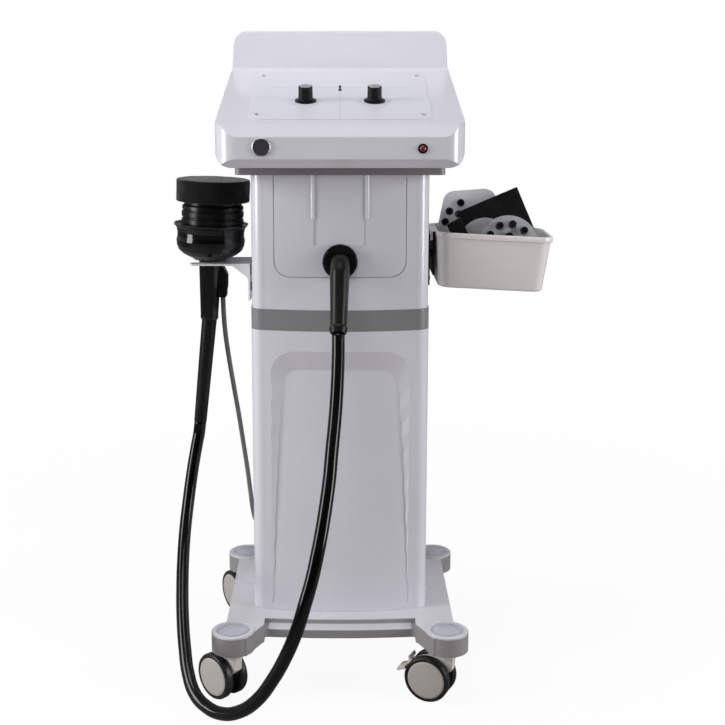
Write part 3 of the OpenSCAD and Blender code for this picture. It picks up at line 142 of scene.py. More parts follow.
# %% [markdown]
# ## Effects that finishes share
# A node group is a small machine with sockets. Each effect below is built once, and every material gives it
# its own colours and sizes. The groups put out only colours, masks and heights. The shader itself stays in
# the material, because an exporter can't read a shader that is hidden in a group.

# %% A helper that starts a node group
def new_group(name, inputs, outputs):
    group = bpy.data.node_groups.new(name, "ShaderNodeTree")
    for label, kind, value in inputs:
        socket = group.interface.new_socket(name=label, in_out="INPUT", socket_type=kind)
        socket.default_value = value
    for label, kind in outputs:
        group.interface.new_socket(name=label, in_out="OUTPUT", socket_type=kind)
    start = group.nodes.new("NodeGroupInput")
    end = group.nodes.new("NodeGroupOutput")
    return group, start, end


def add(tree, kind, **settings):
    node = tree.nodes.new(kind)
    for key, value in settings.items():
        setattr(node, key, value)
    return node


def join(tree, source, target):
    tree.links.new(source, target)


def noise_at(tree, place, scale_socket, detail, rough=0.5):
    """A noise texture on the given place, its scale fed by a socket."""
    node = add(tree, "ShaderNodeTexNoise")
    node.inputs["Detail"].default_value = detail
    node.inputs["Roughness"].default_value = rough
    join(tree, place, node.inputs["Vector"])
    join(tree, scale_socket, node.inputs["Scale"])
    return node


def ramp(tree, value, low, high, out_low=0.0, out_high=1.0):
    node = add(tree, "ShaderNodeMapRange")
    for label, number in (("From Min", low), ("From Max", high), ("To Min", out_low), ("To Max", out_high)):
        node.inputs[label].default_value = number
    join(tree, value, node.inputs["Value"])
    return node.outputs["Result"]


def blend_colours(tree, factor, first, second):
    """Mix of two colours; each is a socket or four numbers."""
    node = add(tree, "ShaderNodeMix", data_type="RGBA")
    join(tree, factor, node.inputs["Factor"])
    for value, label in ((first, 6), (second, 7)):
        if hasattr(value, "is_output"):
            join(tree, value, node.inputs[label])
        else:
            node.inputs[label].default_value = value
    return node.outputs[2]


# %% [markdown]
# ### Moulded skin
# Moulded or painted plastic is never one flat colour. Under a lamp it shows a very faint cloudiness, its
# gloss wanders a little from place to place, and its surface has the soft swell that painters call orange
# peel.

# %% The moulded skin group
def build_moulded_skin():
    group, start, end = new_group(
        "moulded_skin",
        [("Colour", "NodeSocketColor", (0.8, 0.8, 0.8, 1)),
         ("Cloud colour", "NodeSocketColor", (0.7, 0.7, 0.7, 1)),
         ("Cloud size", "NodeSocketFloat", 8.0), ("Peel size", "NodeSocketFloat", 220.0),
         ("Gloss low", "NodeSocketFloat", 0.2), ("Gloss high", "NodeSocketFloat", 0.3)],
        [("Colour", "NodeSocketColor"), ("Roughness", "NodeSocketFloat"), ("Height", "NodeSocketFloat")],
    )
    place = add(group, "ShaderNodeTexCoord").outputs["Object"]
    clouds = noise_at(group, place, start.outputs["Cloud size"], detail=4)
    mask = ramp(group, clouds.outputs["Fac"], 0.35, 0.7)
    join(group, blend_colours(group, mask, start.outputs["Colour"], start.outputs["Cloud colour"]),
         end.inputs["Colour"])
    peel = noise_at(group, place, start.outputs["Peel size"], detail=2)
    gloss = add(group, "ShaderNodeMapRange")
    join(group, clouds.outputs["Fac"], gloss.inputs["Value"])
    gloss.inputs["From Min"].default_value = 0.3
    gloss.inputs["From Max"].default_value = 0.7
    join(group, start.outputs["Gloss low"], gloss.inputs["To Min"])
    join(group, start.outputs["Gloss high"], gloss.inputs["To Max"])
    join(group, gloss.outputs["Result"], end.inputs["Roughness"])
    join(group, peel.outputs["Fac"], end.inputs["Height"])
    return group


moulded_skin = build_moulded_skin()
print("group:", moulded_skin.name)

# %% [markdown]
# ### Foam cells
# Open foam is a mass of tiny bubbles that were cut through. A Voronoi texture gives the round cells: the
# middle of each is painted dark as the shade in its pit, and the walls between them are painted lighter
# where they catch the light.

# %% The foam cell group
def build_foam_cells():
    group, start, end = new_group(
        "foam_cells",
        [("Wall colour", "NodeSocketColor", (0.05, 0.05, 0.05, 1)),
         ("Pit shade", "NodeSocketColor", (0, 0, 0, 1)), ("Cell size", "NodeSocketFloat", 900.0)],
        [("Colour", "NodeSocketColor"), ("Height", "NodeSocketFloat")],
    )
    place = add(group, "ShaderNodeTexCoord").outputs["Object"]
    cells = add(group, "ShaderNodeTexVoronoi")
    join(group, place, cells.inputs["Vector"])
    join(group, start.outputs["Cell size"], cells.inputs["Scale"])
    wander = add(group, "ShaderNodeTexNoise")
    wander.inputs["Scale"].default_value = 60
    join(group, place, wander.inputs["Vector"])
    depth = ramp(group, cells.outputs["Distance"], 0.1, 0.65)
    uneven = ramp(group, wander.outputs["Fac"], 0.35, 0.65, 0.75, 1.0)
    mask = add(group, "ShaderNodeMath", operation="MULTIPLY")
    join(group, depth, mask.inputs[0])
    join(group, uneven, mask.inputs[1])
    # The middle of each cell is painted darker, as the shade in its pit.
    tone = blend_colours(group, mask.outputs[0], start.outputs["Pit shade"], start.outputs["Wall colour"])
    join(group, tone, end.inputs["Colour"])
    join(group, mask.outputs[0], end.inputs["Height"])
    return group


foam_cells = build_foam_cells()
print("group:", foam_cells.name)

# %% [markdown]
# ### Handling marks
# Rubber and black plastic that hands hold pick up a haze: places that are a bit greyer and a bit duller.

# %% The handling marks group
def build_handling_marks():
    group, start, end = new_group(
        "handling_marks",
        [("Colour", "NodeSocketColor", (0.02, 0.02, 0.02, 1)),
         ("Haze colour", "NodeSocketColor", (0.05, 0.05, 0.05, 1)), ("Mark size", "NodeSocketFloat", 25.0),
         ("Clean gloss", "NodeSocketFloat", 0.2), ("Hazy gloss", "NodeSocketFloat", 0.4)],
        [("Colour", "NodeSocketColor"), ("Roughness", "NodeSocketFloat"), ("Height", "NodeSocketFloat")],
    )
    place = add(group, "ShaderNodeTexCoord").outputs["Object"]
    marks = noise_at(group, place, start.outputs["Mark size"], detail=8, rough=0.65)
    mask = ramp(group, marks.outputs["Fac"], 0.48, 0.72)
    join(group, blend_colours(group, mask, start.outputs["Colour"], start.outputs["Haze colour"]),
         end.inputs["Colour"])
    gloss = add(group, "ShaderNodeMapRange")
    join(group, mask, gloss.inputs["Value"])
    join(group, start.outputs["Clean gloss"], gloss.inputs["To Min"])
    join(group, start.outputs["Hazy gloss"], gloss.inputs["To Max"])
    join(group, gloss.outputs["Result"], end.inputs["Roughness"])
    fine = add(group, "ShaderNodeTexNoise")
    fine.inputs["Scale"].default_value = 900
    join(group, place, fine.inputs["Vector"])
    join(group, fine.outputs["Fac"], end.inputs["Height"])
    return group


handling_marks = build_handling_marks()
print("group:", handling_marks.name)

# %% [markdown]
# ## Finishes
# Each finish is one Principled shader. What is the same all over the surface is typed into the shader, and
# what changes comes from one of the groups. A Bevel node rounds the look of an edge by a millimetre or so,
# because real mouldings and castings have no knife edges.

# %% The common start of a finish
def start_finish(name, edge, bump, bump_depth=0.0002, **constants):
    """A material with a Principled shader and a Bump node; returns both and the node tree."""
    material = bpy.data.materials.new(name)
    material.use_nodes = True
    tree = material.node_tree
    shader = tree.nodes["Principled BSDF"]
    for label, value in constants.items():
        shader.inputs[label.replace("_", " ")].default_value = value
    relief = add(tree, "ShaderNodeBump")
    relief.inputs["Strength"].default_value = bump
    relief.inputs["Distance"].default_value = bump_depth
    join(tree, relief.outputs["Normal"], shader.inputs["Normal"])
    if edge:
        rounding = add(tree, "ShaderNodeBevel", samples=4)
        rounding.inputs["Radius"].default_value = edge
        join(tree, rounding.outputs["Normal"], relief.inputs["Normal"])
    return material, tree, shader, relief


def use_group(tree, group, values):
    node = add(tree, "ShaderNodeGroup", node_tree=group)
    for label, value in values.items():
        node.inputs[label].default_value = value
    return node


def wear(tree, skin, shader, relief):
    """Joins a group's colour, height and, where it has one, its roughness to the shader."""
    join(tree, skin.outputs["Colour"], shader.inputs["Base Color"])
    if "Roughness" in skin.outputs:
        join(tree, skin.outputs["Roughness"], shader.inputs["Roughness"])
    join(tree, skin.outputs["Height"], relief.inputs["Height"])


def grey(level, blue=1.0):
    """A grey as four numbers, its blue a little up where it is cool."""
    return (level, level, level * blue, 1)


# %% Moulded and painted finishes
def moulded(name, colour, clouds, gloss, peel=220.0, edge=0.0012, bump=0.08, **constants):
    material, tree, shader, relief = start_finish(name, edge, bump, **constants)
    skin = use_group(tree, moulded_skin, {
        "Colour": colour, "Cloud colour": clouds, "Cloud size": 8.0, "Peel size": peel,
        "Gloss low": gloss[0], "Gloss high": gloss[1],
    })
    wear(tree, skin, shader, relief)
    return material


def handled(name, colour, haze, gloss, marks, edge=0.0006, bump=0.06, **constants):
    material, tree, shader, relief = start_finish(name, edge, bump, **constants)
    skin = use_group(tree, handling_marks, {
        "Colour": colour, "Haze colour": haze, "Mark size": marks,
        "Clean gloss": gloss[0], "Hazy gloss": gloss[1],
    })
    wear(tree, skin, shader, relief)
    return material


def foam(name, wall, pit_shade):
    material, tree, shader, relief = start_finish(
        name, edge=0.0, bump=0.7, bump_depth=0.0006, Roughness=0.95, Specular_IOR_Level=0.1,
        Sheen_Weight=0.5, Sheen_Roughness=0.3, Sheen_Tint=(1, 0.98, 1, 1),
    )
    cells = use_group(tree, foam_cells, {"Wall colour": wall, "Pit shade": pit_shade, "Cell size": 900.0})
    wear(tree, cells, shader, relief)
    return material


# %% Brushed and turned metal
def brushed(name, colour, gloss):
    """Turned steel: its fine marks run round the upright axis, along which the noise is squeezed."""
    squeeze, darker = (1, 1, 40), 0.8
    material, tree, shader, relief = start_finish(
        name, edge=0.0004, bump=0.05, bump_depth=0.0001, Metallic=1.0)
    place = add(tree, "ShaderNodeTexCoord").outputs["Object"]
    squeezed = add(tree, "ShaderNodeMapping")
    squeezed.inputs["Scale"].default_value = squeeze
    join(tree, place, squeezed.inputs["Vector"])
    lines = add(tree, "ShaderNodeTexNoise")
    lines.inputs["Scale"].default_value = 120
    join(tree, squeezed.outputs["Vector"], lines.inputs["Vector"])
    join(tree, ramp(tree, lines.outputs["Fac"], 0.3, 0.7, *gloss), shader.inputs["Roughness"])
    shade = tuple(darker * c for c in colour[:3]) + (1,)
    join(tree, blend_colours(tree, lines.outputs["Fac"], colour, shade), shader.inputs["Base Color"])
    join(tree, lines.outputs["Fac"], relief.inputs["Height"])
    return material


# %% [markdown]
# ### The finishes of this machine
# The housings are cool white with a hint of violet, glossy enough to show soft reflections. The base is a
# painted casting, a shade greyer. The casters are warm beige and the tray is ivory. The handpiece, the
# knobs and the hose are black.

# %% Finishes by place
finishes = {
    "shell": moulded("cabinet_plastic", (0.80, 0.79, 0.86, 1), (0.775, 0.765, 0.84, 1), (0.16, 0.24),
                     peel=90, edge=0.0015, bump=0.04, Coat_Weight=0.3, Coat_Roughness=0.08),
    "casting": moulded("base_paint", (0.66, 0.65, 0.69, 1), (0.63, 0.62, 0.66, 1), (0.25, 0.36),
                       peel=420, edge=0.002, bump=0.12),
    "cap": moulded("boss_cap_plastic", (0.50, 0.51, 0.57, 1), (0.46, 0.47, 0.53, 1), (0.06, 0.1),
                   edge=0.0004, bump=0.03, Coat_Weight=1.0, Coat_Roughness=0.03),
    "caster_body": moulded("caster_plastic", (0.80, 0.76, 0.71, 1), (0.76, 0.72, 0.67, 1), (0.35, 0.5),
                           edge=0.0008),
    "tread": handled("tread_rubber", grey(0.014), grey(0.035), (0.35, 0.6), marks=60, bump=0.15,
                     Specular_IOR_Level=0.3),
    "caster_disc": moulded("disc_plastic", (0.55, 0.505, 0.48, 1), (0.51, 0.465, 0.44, 1), (0.3, 0.45),
                           peel=500, edge=0.0008, bump=0.1),
    "band": moulded("band_plastic", (0.27, 0.265, 0.275, 1), (0.262, 0.257, 0.267, 1), (0.24, 0.27),
                    edge=0.0008),
    "sheet": moulded("sheet_paint", (0.90, 0.89, 0.92, 1), (0.87, 0.86, 0.89, 1), (0.3, 0.42),
                     peel=700, edge=0.0006, bump=0.12),
    "black_plastic": handled("black_plastic", grey(0.005), grey(0.010), (0.26, 0.36), marks=40,
                             Specular_IOR_Level=0.2),
    "motor_case": moulded("motor_paint", (0.16, 0.17, 0.19, 1), (0.13, 0.14, 0.16, 1), (0.4, 0.5),
                          edge=0.0008),
    "board": moulded("board_mask", (0.02, 0.14, 0.06, 1), (0.015, 0.1, 0.045, 1), (0.3, 0.4), edge=0.0003),
    "rubber_grey": handled("sleeve_rubber", grey(0.010), grey(0.018), (0.3, 0.45), marks=30, bump=0.1,
                           Specular_IOR_Level=0.2),
    "hose_skin": handled("hose_skin", grey(0.003), grey(0.006), (0.10, 0.2), marks=14, edge=0, bump=0.03,
                         Coat_Weight=0.2, Coat_Roughness=0.04, Specular_IOR_Level=0.2),
    "plinth_metal": moulded("plinth_paint", (0.26, 0.25, 0.26, 1), (0.22, 0.21, 0.22, 1), (0.35, 0.45),
                            edge=0.0008),
    "plate_film": moulded("panel_film", (0.76, 0.765, 0.83, 1), (0.756, 0.761, 0.826, 1), (0.30, 0.32),
                          peel=600, edge=0.0004, bump=0.005),
    "button_grey": moulded("button_face", (0.060, 0.056, 0.062, 1), (0.048, 0.045, 0.050, 1), (0.3, 0.4),
                           edge=0.0005),
    "gloss_black": handled("gloss_black", grey(0.004), grey(0.007), (0.08, 0.16), marks=22, edge=0.0008,
                           Coat_Weight=0.25, Coat_Roughness=0.08, Specular_IOR_Level=0.3),
    "rubber_black": handled("boot_rubber", grey(0.007), grey(0.014), (0.25, 0.42), marks=35, edge=0.0008,
                            Specular_IOR_Level=0.25),
    "foam": foam("foam_black", grey(0.016), grey(0.002)),
    "cable_skin": handled("cable_skin", grey(0.19), grey(0.16), (0.35, 0.5), marks=30, edge=0),
    "tray_ivory": moulded("tray_plastic", (0.90, 0.87, 0.86, 1), (0.87, 0.84, 0.83, 1), (0.12, 0.2),
                          peel=120, edge=0.0006, bump=0.04, Coat_Weight=0.3, Coat_Roughness=0.08),
    "head_grey": moulded("head_plastic", (0.50, 0.505, 0.53, 1), (0.44, 0.445, 0.47, 1), (0.35, 0.5),
                         peel=700, edge=0.0006, bump=0.12),
    "pad_light": moulded("pad_plastic", (0.92, 0.92, 0.96, 1), (0.88, 0.88, 0.93, 1), (0.4, 0.55),
                         peel=500, edge=0.0008, bump=0.12),
    "steel": brushed("turned_steel", (0.78, 0.78, 0.80, 1), (0.3, 0.45)),
}
print("finishes:", len(finishes))

# %% Painted shade on the casting's upright sides
# The casting's upright sides get a darker grey, which is painted shade: they stand away from the light
# from above. Its level tops keep the plain paint. A ramp over the height picks out the top of the arms. The
# lower step lies between the arms only, so its band ends where they begin.
painted_side_shade = (0.33, 0.315, 0.32, 1)
arm_top_from, arm_top_to = 0.1168, 0.1176
step_height, step_band_half = 0.110, 0.0007
step_end_from, step_end_to = 0.1145, 0.1155
casting_tree = finishes["casting"].node_tree
casting_shader = casting_tree.nodes["Principled BSDF"]
plain_casting_paint = casting_shader.inputs["Base Color"].links[0].from_socket
height = add(casting_tree, "ShaderNodeSeparateXYZ")
join(casting_tree, add(casting_tree, "ShaderNodeTexCoord").outputs["Object"], height.inputs[0])
arm_top = ramp(casting_tree, height.outputs["Z"], arm_top_from, arm_top_to)
step_band = add(casting_tree, "ShaderNodeMath", operation="COMPARE")
step_band.inputs[1].default_value = step_height
step_band.inputs[2].default_value = step_band_half
join(casting_tree, height.outputs["Z"], step_band.inputs[0])
aside = add(casting_tree, "ShaderNodeMath", operation="ABSOLUTE")
join(casting_tree, height.outputs["X"], aside.inputs[0])
step_top = add(casting_tree, "ShaderNodeMath", operation="MULTIPLY")
join(casting_tree, step_band.outputs[0], step_top.inputs[0])
between_arms = ramp(casting_tree, aside.outputs[0], step_end_from, step_end_to, 1, 0)
join(casting_tree, between_arms, step_top.inputs[1])
tops = add(casting_tree, "ShaderNodeMath", operation="MAXIMUM")
join(casting_tree, arm_top, tops.inputs[0])
join(casting_tree, step_top.outputs[0], tops.inputs[1])
# Upright sides get the painted shade, and the level tops keep the plain paint.
join(casting_tree, blend_colours(casting_tree, tops.outputs[0], painted_side_shade, plain_casting_paint),
     casting_shader.inputs["Base Color"])

# %% [markdown]
# ### The pilot lamp
# A tinted lens is clear plastic with colour in it. Light goes in, is filtered red and comes back out, so it
# gets transmission. A trace of plain colour stays, so that it isn't black where nothing lights it from
# behind.

# %% Lamp lens
lens, tree, shader, relief = start_finish(
    "lamp_lens_red", edge=0.0, bump=0.05, Transmission_Weight=0.35, IOR=1.49, Coat_Weight=0.6,
    Coat_Roughness=0.04,
)
prisms = use_group(tree, moulded_skin, {
    "Colour": (0.36, 0.012, 0.02, 1), "Cloud colour": (0.22, 0.006, 0.012, 1), "Cloud size": 300.0,
    "Peel size": 900.0, "Gloss low": 0.1, "Gloss high": 0.2,
})
wear(tree, prisms, shader, relief)
finishes["lens_red"] = lens

# %% Give every CAD node its finish
slot_of = {part["node"]: part["material_slot"] for part in frame["record"]["subparts"]}
for name, obj in nodes.items():
    obj.data.materials.clear()
    obj.data.materials.append(finishes[slot_of[name]])
print("dressed", len(slot_of), "nodes")

# %% [markdown]
# ## Hose and cable
# The drive hose is one fixed length of rubber-covered flexible shaft. It leaves the port in the cabinet,
# falls in front of the machine nearly to the floor and climbs into the sleeve of the handpiece. The points
# below are the same route that the solid hose follows, with its end drawn up into the sleeve. A smooth
# curve through them is bevelled into a tube and made a mesh.

# %% Routes, in metres
hose_points = [
    (-0.0026, -0.1762, 0.6012), (-0.0027, -0.1935, 0.5707), (-0.0045, -0.221, 0.526), (-0.008, -0.25, 0.481),
    (-0.012, -0.274, 0.445), (-0.0155, -0.297, 0.41), (-0.0205, -0.317, 0.377), (-0.026, -0.335, 0.346),
    (-0.0325, -0.35, 0.315), (-0.04, -0.362, 0.283), (-0.05, -0.37, 0.249), (-0.061, -0.374, 0.213),
    (-0.0765, -0.374, 0.174), (-0.097, -0.368, 0.133), (-0.1215, -0.357, 0.095), (-0.148, -0.342, 0.07),
    (-0.175, -0.323, 0.057), (-0.2, -0.3, 0.056), (-0.22, -0.275, 0.064), (-0.233, -0.247, 0.0825),
    (-0.2415, -0.215, 0.11), (-0.248, -0.18, 0.141), (-0.2525, -0.142, 0.175), (-0.255, -0.104, 0.211),
    (-0.255, -0.069, 0.249), (-0.252, -0.039, 0.29), (-0.247, -0.0135, 0.335), (-0.2409, 0.0028, 0.3737),
    (-0.2374, 0.0068, 0.392), (-0.2348, 0.008, 0.413),
]
cable_points = [
    (-0.1934, 0.008, 0.6255), (-0.1927, 0.0095, 0.596), (-0.1908, 0.013, 0.564), (-0.1867, 0.02, 0.524),
    (-0.1798, 0.031, 0.469), (-0.173, 0.045, 0.415), (-0.1673, 0.062, 0.36), (-0.1618, 0.079, 0.305),
    (-0.1582, 0.093, 0.26), (-0.155, 0.108, 0.22), (-0.151, 0.123, 0.197), (-0.143, 0.137, 0.184),
    (-0.132, 0.147, 0.181), (-0.12, 0.151, 0.188), (-0.111, 0.146, 0.2), (-0.107, 0.134, 0.209),
    (-0.106, 0.118, 0.212), (-0.106, 0.111, 0.212),
]


# %% A tube along a route
def tube(name, points, diameter, material, sides):
    """Sweeps a round tube along a smooth curve through the points.

    Returns the mesh piece and the points of its centreline.
    """
    line = bpy.data.curves.new(name + "_line", "CURVE")
    line.dimensions = "3D"
    line.resolution_u = 6
    spline = line.splines.new("BEZIER")
    spline.bezier_points.add(len(points) - 1)
    for knot, point in zip(spline.bezier_points, points):
        knot.co = point
        knot.handle_left_type = knot.handle_right_type = "AUTO"
    guide = bpy.data.objects.new(name + "_guide", line)
    bpy.context.scene.collection.objects.link(guide)
    bare = guide.evaluated_get(bpy.context.evaluated_depsgraph_get()).to_mesh()
    centre = [tuple(v.co) for v in bare.vertices]
    guide.evaluated_get(bpy.context.evaluated_depsgraph_get()).to_mesh_clear()
    line.bevel_depth = diameter / 2
    line.bevel_resolution = sides
    line.use_fill_caps = True
    swept = bpy.data.meshes.new_from_object(guide.evaluated_get(bpy.context.evaluated_depsgraph_get()))
    bpy.data.objects.remove(guide)
    bpy.data.curves.remove(line)
    bm = bmesh.new()
    bm.from_mesh(swept)
    bpy.data.meshes.remove(swept)
    obj = piece(name, bm, material)
    length = sum((Vector(b) - Vector(a)).length for a, b in zip(centre, centre[1:]))
    print(f"{name}: {length:.3f} m long, {len(centre)} points on its centreline")
    return obj, centre


# %% The drive hose
hose, hose_line = tube("drive_hose", hose_points, 0.020, finishes["hose_skin"], sides=10)
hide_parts("hose")
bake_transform(hose)

# %% The switch cable
cable, cable_line = tube("switch_lead", cable_points, 0.008, finishes["cable_skin"], sides=6)
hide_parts("switch_cable")
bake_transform(cable)

# %% [markdown]
# ## Foam pad of the handpiece
# The pad is a thick disc of dark open foam. Foam is cut, not moulded, so its faces are flat but never quite
# true and its rims are soft. A cylinder has its two rims rounded. Rings drawn in on both faces and loops
# round the wall give it points to shape, and a slow noise then pushes its skin in and out by up to a third
# of a millimetre.

# %% Shaping foam
def ruffle(bm, depth, size, seed):
    """Moves every vertex along its normal by a smooth noise."""
    bm.normal_update()
    shift = [(v, v.normal * depth * noise.noise(v.co / size + Vector((seed, seed, seed)))) for v in bm.verts]
    for v, step in shift:
        v.co += step


def foam_disc(radius, thickness, rim):
    bm = bmesh.new()
    bmesh.ops.create_cone(bm, cap_ends=True, cap_tris=False, segments=96, radius1=radius, radius2=radius,
                          depth=thickness)
    bmesh.ops.translate(bm, verts=bm.verts, vec=(0, 0, thickness / 2))
    bevel_edges(bm, [e for e in bm.edges if rise(e) < tolerance], rim, 4)
    ring_count, ring_width = 7, radius * 0.12
    for _ in range(ring_count):
        caps = [f for f in bm.faces if len(f.verts) > 4]
        bmesh.ops.inset_individual(bm, faces=caps, thickness=ring_width, depth=0, use_even_offset=True)
    walls = [e for e in bm.edges if rise(e) > thickness / 2]
    bmesh.ops.subdivide_edges(bm, edges=walls, cuts=6, use_grid_fill=True)
    return bm


# %% The foam pad
pad_height = 0.0982
pad_bm = foam_disc(radius=0.0597, thickness=0.0357, rim=0.0022)
ruffle(pad_bm, depth=0.0003, size=0.012, seed=3.0)
pad_place = tool_place @ Matrix.Translation((crank_throw, 0, pad_height))
bmesh.ops.transform(pad_bm, matrix=pad_place, verts=pad_bm.verts)
foam_pad = piece("pad_foam", pad_bm, finishes["foam"])
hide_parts("foam_pad")
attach(foam_pad, "applicator")

# %% Foam blocks in the tray
def foam_block(name, size, place, seed):
    bm = bmesh.new()
    bmesh.ops.create_cube(bm, size=1)
    bmesh.ops.scale(bm, vec=size, verts=bm.verts)
    bmesh.ops.translate(bm, vec=Vector(size) / 2, verts=bm.verts)
    rim, shortest_side = 0.0012, 0.006
    bevel_edges(bm, bm.edges[:], rim, 3)
    long_edges = [e for e in bm.edges if e.calc_length() > shortest_side]
    bmesh.ops.subdivide_edges(bm, edges=long_edges, cuts=11, use_grid_fill=True)
    ruffle(bm, depth=0.00035, size=0.014, seed=seed)
    bmesh.ops.transform(bm, matrix=place, verts=bm.verts)
    obj = piece(name, bm, finishes["foam"])
    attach(obj, "accessory_tray")
    return obj


# Both blocks stand tipped on the flat head that lies at the bottom of the tray.
flat_head, large_thickness, large_tip = 0.020, 0.016, radians(8)
stack_height = -tray_h + tray_wall + flat_head + small_gap
large_foot = (0.080, 0.006, stack_height + small_gap + large_thickness * sin(large_tip))
large_place = (tray_place @ Matrix.Translation(large_foot)
               @ Matrix.Rotation(-large_tip, 4, "X") @ Matrix.Rotation(radians(-26), 4, "Y"))
small_foot = (0.0604, -0.041, stack_height + small_gap)
small_place = tray_place @ Matrix.Translation(small_foot) @ Matrix.Rotation(radians(-30), 4, "Y")
large_block = foam_block("foam_block_large", (0.108, large_thickness, 0.099), large_place, seed=5.0)
small_block = foam_block("foam_block_small", (0.025, 0.0095, 0.088), small_place, seed=9.0)
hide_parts("foam_blocks")
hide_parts("foam_blocks")

# %% [markdown]
# ## The accessory tray
# A deep-drawn tray has large corners, a soft bottom edge and a rolled rim. A box is drawn in at its foot,
# its upright edges are rounded first and its bottom edge after them, the lid is taken off and the skin is
# given a thickness. The rim is a second box without lid and bottom, and the hook over the rail is two small
# bars.

# %% A rounded box without a lid
def round_box(bm, low, high, taper, corner, foot, lid):
    """Adds a box between two corners, drawn in at its foot and open on top, or at both ends."""
    made = bmesh.ops.create_cube(bm, size=1)["verts"]
    stretch_cube(made, low, high)
    for v in made:
        if v.co.z < high[2] - tolerance:
            v.co.x += taper if v.co.x < (low[0] + high[0]) / 2 else -taper
            v.co.y += taper if v.co.y < 0 else -taper
    sides = {e for v in made for e in v.link_edges if rise(e) > tolerance}
    made = set(made) | set(bevel_edges(bm, list(sides), corner, 10)["verts"])
    made = {v for v in made if v.is_valid}
    if foot:
        lowest = {e for v in made for e in v.link_edges
                  if all(abs(end.co.z - low[2]) < tolerance for end in e.verts)}
        made |= set(bevel_edges(bm, list(lowest), foot, 4)["verts"])
        made = {v for v in made if v.is_valid}
    faces = {f for v in made for f in v.link_faces}
    open_at = [high[2]] if lid == "top" else [low[2], high[2]]
    ends = [f for f in faces if any(all(abs(v.co.z - z) < tolerance for v in f.verts) for z in open_at)]
    bmesh.ops.delete(bm, geom=ends, context="FACES")


# %% The tray
tray_bm = bmesh.new()
skin_top = -0.001
round_box(tray_bm, (0, -tray_d / 2, -tray_h), (tray_w, tray_d / 2, skin_top),
          taper=0.008, corner=0.020, foot=0.0045, lid="top")
bmesh.ops.recalc_face_normals(tray_bm, faces=tray_bm.faces)
bmesh.ops.solidify(tray_bm, geom=tray_bm.faces[:], thickness=tray_wall)
rim_bm = bmesh.new()
rim_height, rim_thickness, rim_round, rim_start = 0.009, 0.0045, 0.0014, -0.0005
round_box(rim_bm, (rim_start, -tray_d / 2 - lip, -rim_height), (tray_w + lip, tray_d / 2 + lip, 0),
          taper=0, corner=0.022, foot=0, lid="both")
bmesh.ops.recalc_face_normals(rim_bm, faces=rim_bm.faces)
bmesh.ops.solidify(rim_bm, geom=rim_bm.faces[:], thickness=rim_thickness)
level = [e for e in rim_bm.edges
         if rise(e) < tolerance and len({round(f.normal.z) for f in e.link_faces}) > 1]
bevel_edges(rim_bm, level, rim_round, 3)
rim_mesh = bpy.data.meshes.new("rim")
rim_bm.to_mesh(rim_mesh)
rim_bm.free()
tray_bm.from_mesh(rim_mesh)
bpy.data.meshes.remove(rim_mesh)
bmesh.ops.transform(tray_bm, matrix=tray_place, verts=tray_bm.verts)
# The hook over the rail is a flat bar that reaches into the rim, and a tongue down behind the rail.
rail_top, hook_x, hook_end_x, hook_low_y, hook_high_y = 0.7403, 0.1444, 0.1551, -0.044, 0.054
bar_thickness, tongue_thickness, tongue_reach, overlap, hook_bevel = 0.0016, 0.0038, 0.014, 0.001, 0.0004
bar = ((hook_x, hook_low_y, rail_top), (hook_end_x, hook_high_y, rail_top + bar_thickness))
tongue = ((hook_x, hook_low_y, rail_top - tongue_reach),
          (hook_x + tongue_thickness, hook_high_y, rail_top + overlap))
for box_low, box_high in (bar, tongue):
    made = bmesh.ops.create_cube(tray_bm, size=1)["verts"]
    stretch_cube(made, box_low, box_high)
    bevel_edges(tray_bm, list({e for v in made for e in v.link_edges}), hook_bevel, 2)
tray_x = [v.co.x for v in tray_bm.verts]
print("tray, m:", round(min(tray_x), 4), "to", round(max(tray_x), 4), "in X")
tray = sharp_beyond(piece("tray_drawn", tray_bm, finishes["tray_ivory"], weld=False), 35)
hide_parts("tray")
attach(tray, "accessory_tray")

# %% [markdown]
# ## Knob caps and the printed scales
# Each knob has a pale insert in its top, which is bright against the black. Round the knobs the panel
# carries printed scales. Ink is thin, so the marks are flat slips, less than a tenth of a millimetre proud
# of the film.

# %% Knob caps
knob_gap, knob_up, knob_top = 0.108, 0.119, film_thickness + small_gap + knob_height
insert_radius, insert_thickness, insert_bevel, insert_rise = 0.0095, 0.0006, 0.0003, 0.0001
cap_finish = brushed("knob_insert", (0.80, 0.80, 0.82, 1), gloss=(0.3, 0.45))


def knob_place(side, height):
    return slope_place @ Matrix.Translation((side * knob_gap / 2, knob_up, height))


for side, body in ((-1, "left_knob"), (1, "right_knob")):
    bm = bmesh.new()
    bmesh.ops.create_cone(bm, cap_ends=True, segments=64, radius1=insert_radius, radius2=insert_radius,
                          depth=insert_thickness)
    top_rim = [e for e in bm.edges if e.verts[0].co.z > 0 and e.verts[1].co.z > 0]
    bevel_edges(bm, top_rim, insert_bevel, 2)
    bmesh.ops.transform(bm, matrix=knob_place(side, knob_top + insert_rise), verts=bm.verts)
    cap = sharp_beyond(piece(body + "_insert", bm, cap_finish), 30)
    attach(cap, body)

# %% Printed scales
ink = handled("panel_ink", grey(0.10, 1.15), grey(0.14, 1.1), (0.35, 0.45), marks=200, edge=0)
ink_height, ink_thickness = 0.00105, 0.00008
scale_radius, scale_sweep = 0.0215, 270
long_mark, short_mark = (0.0007, 0.0042), (0.0004, 0.0024)


def add_mark(bm, matrix, width, length):
    """A printed mark: a slip of ink lying flat at the matrix."""
    made = bmesh.ops.create_cube(bm, size=1)["verts"]
    bmesh.ops.scale(bm, vec=(width, length, ink_thickness), verts=made)
    bmesh.ops.transform(bm, matrix=matrix, verts=made)


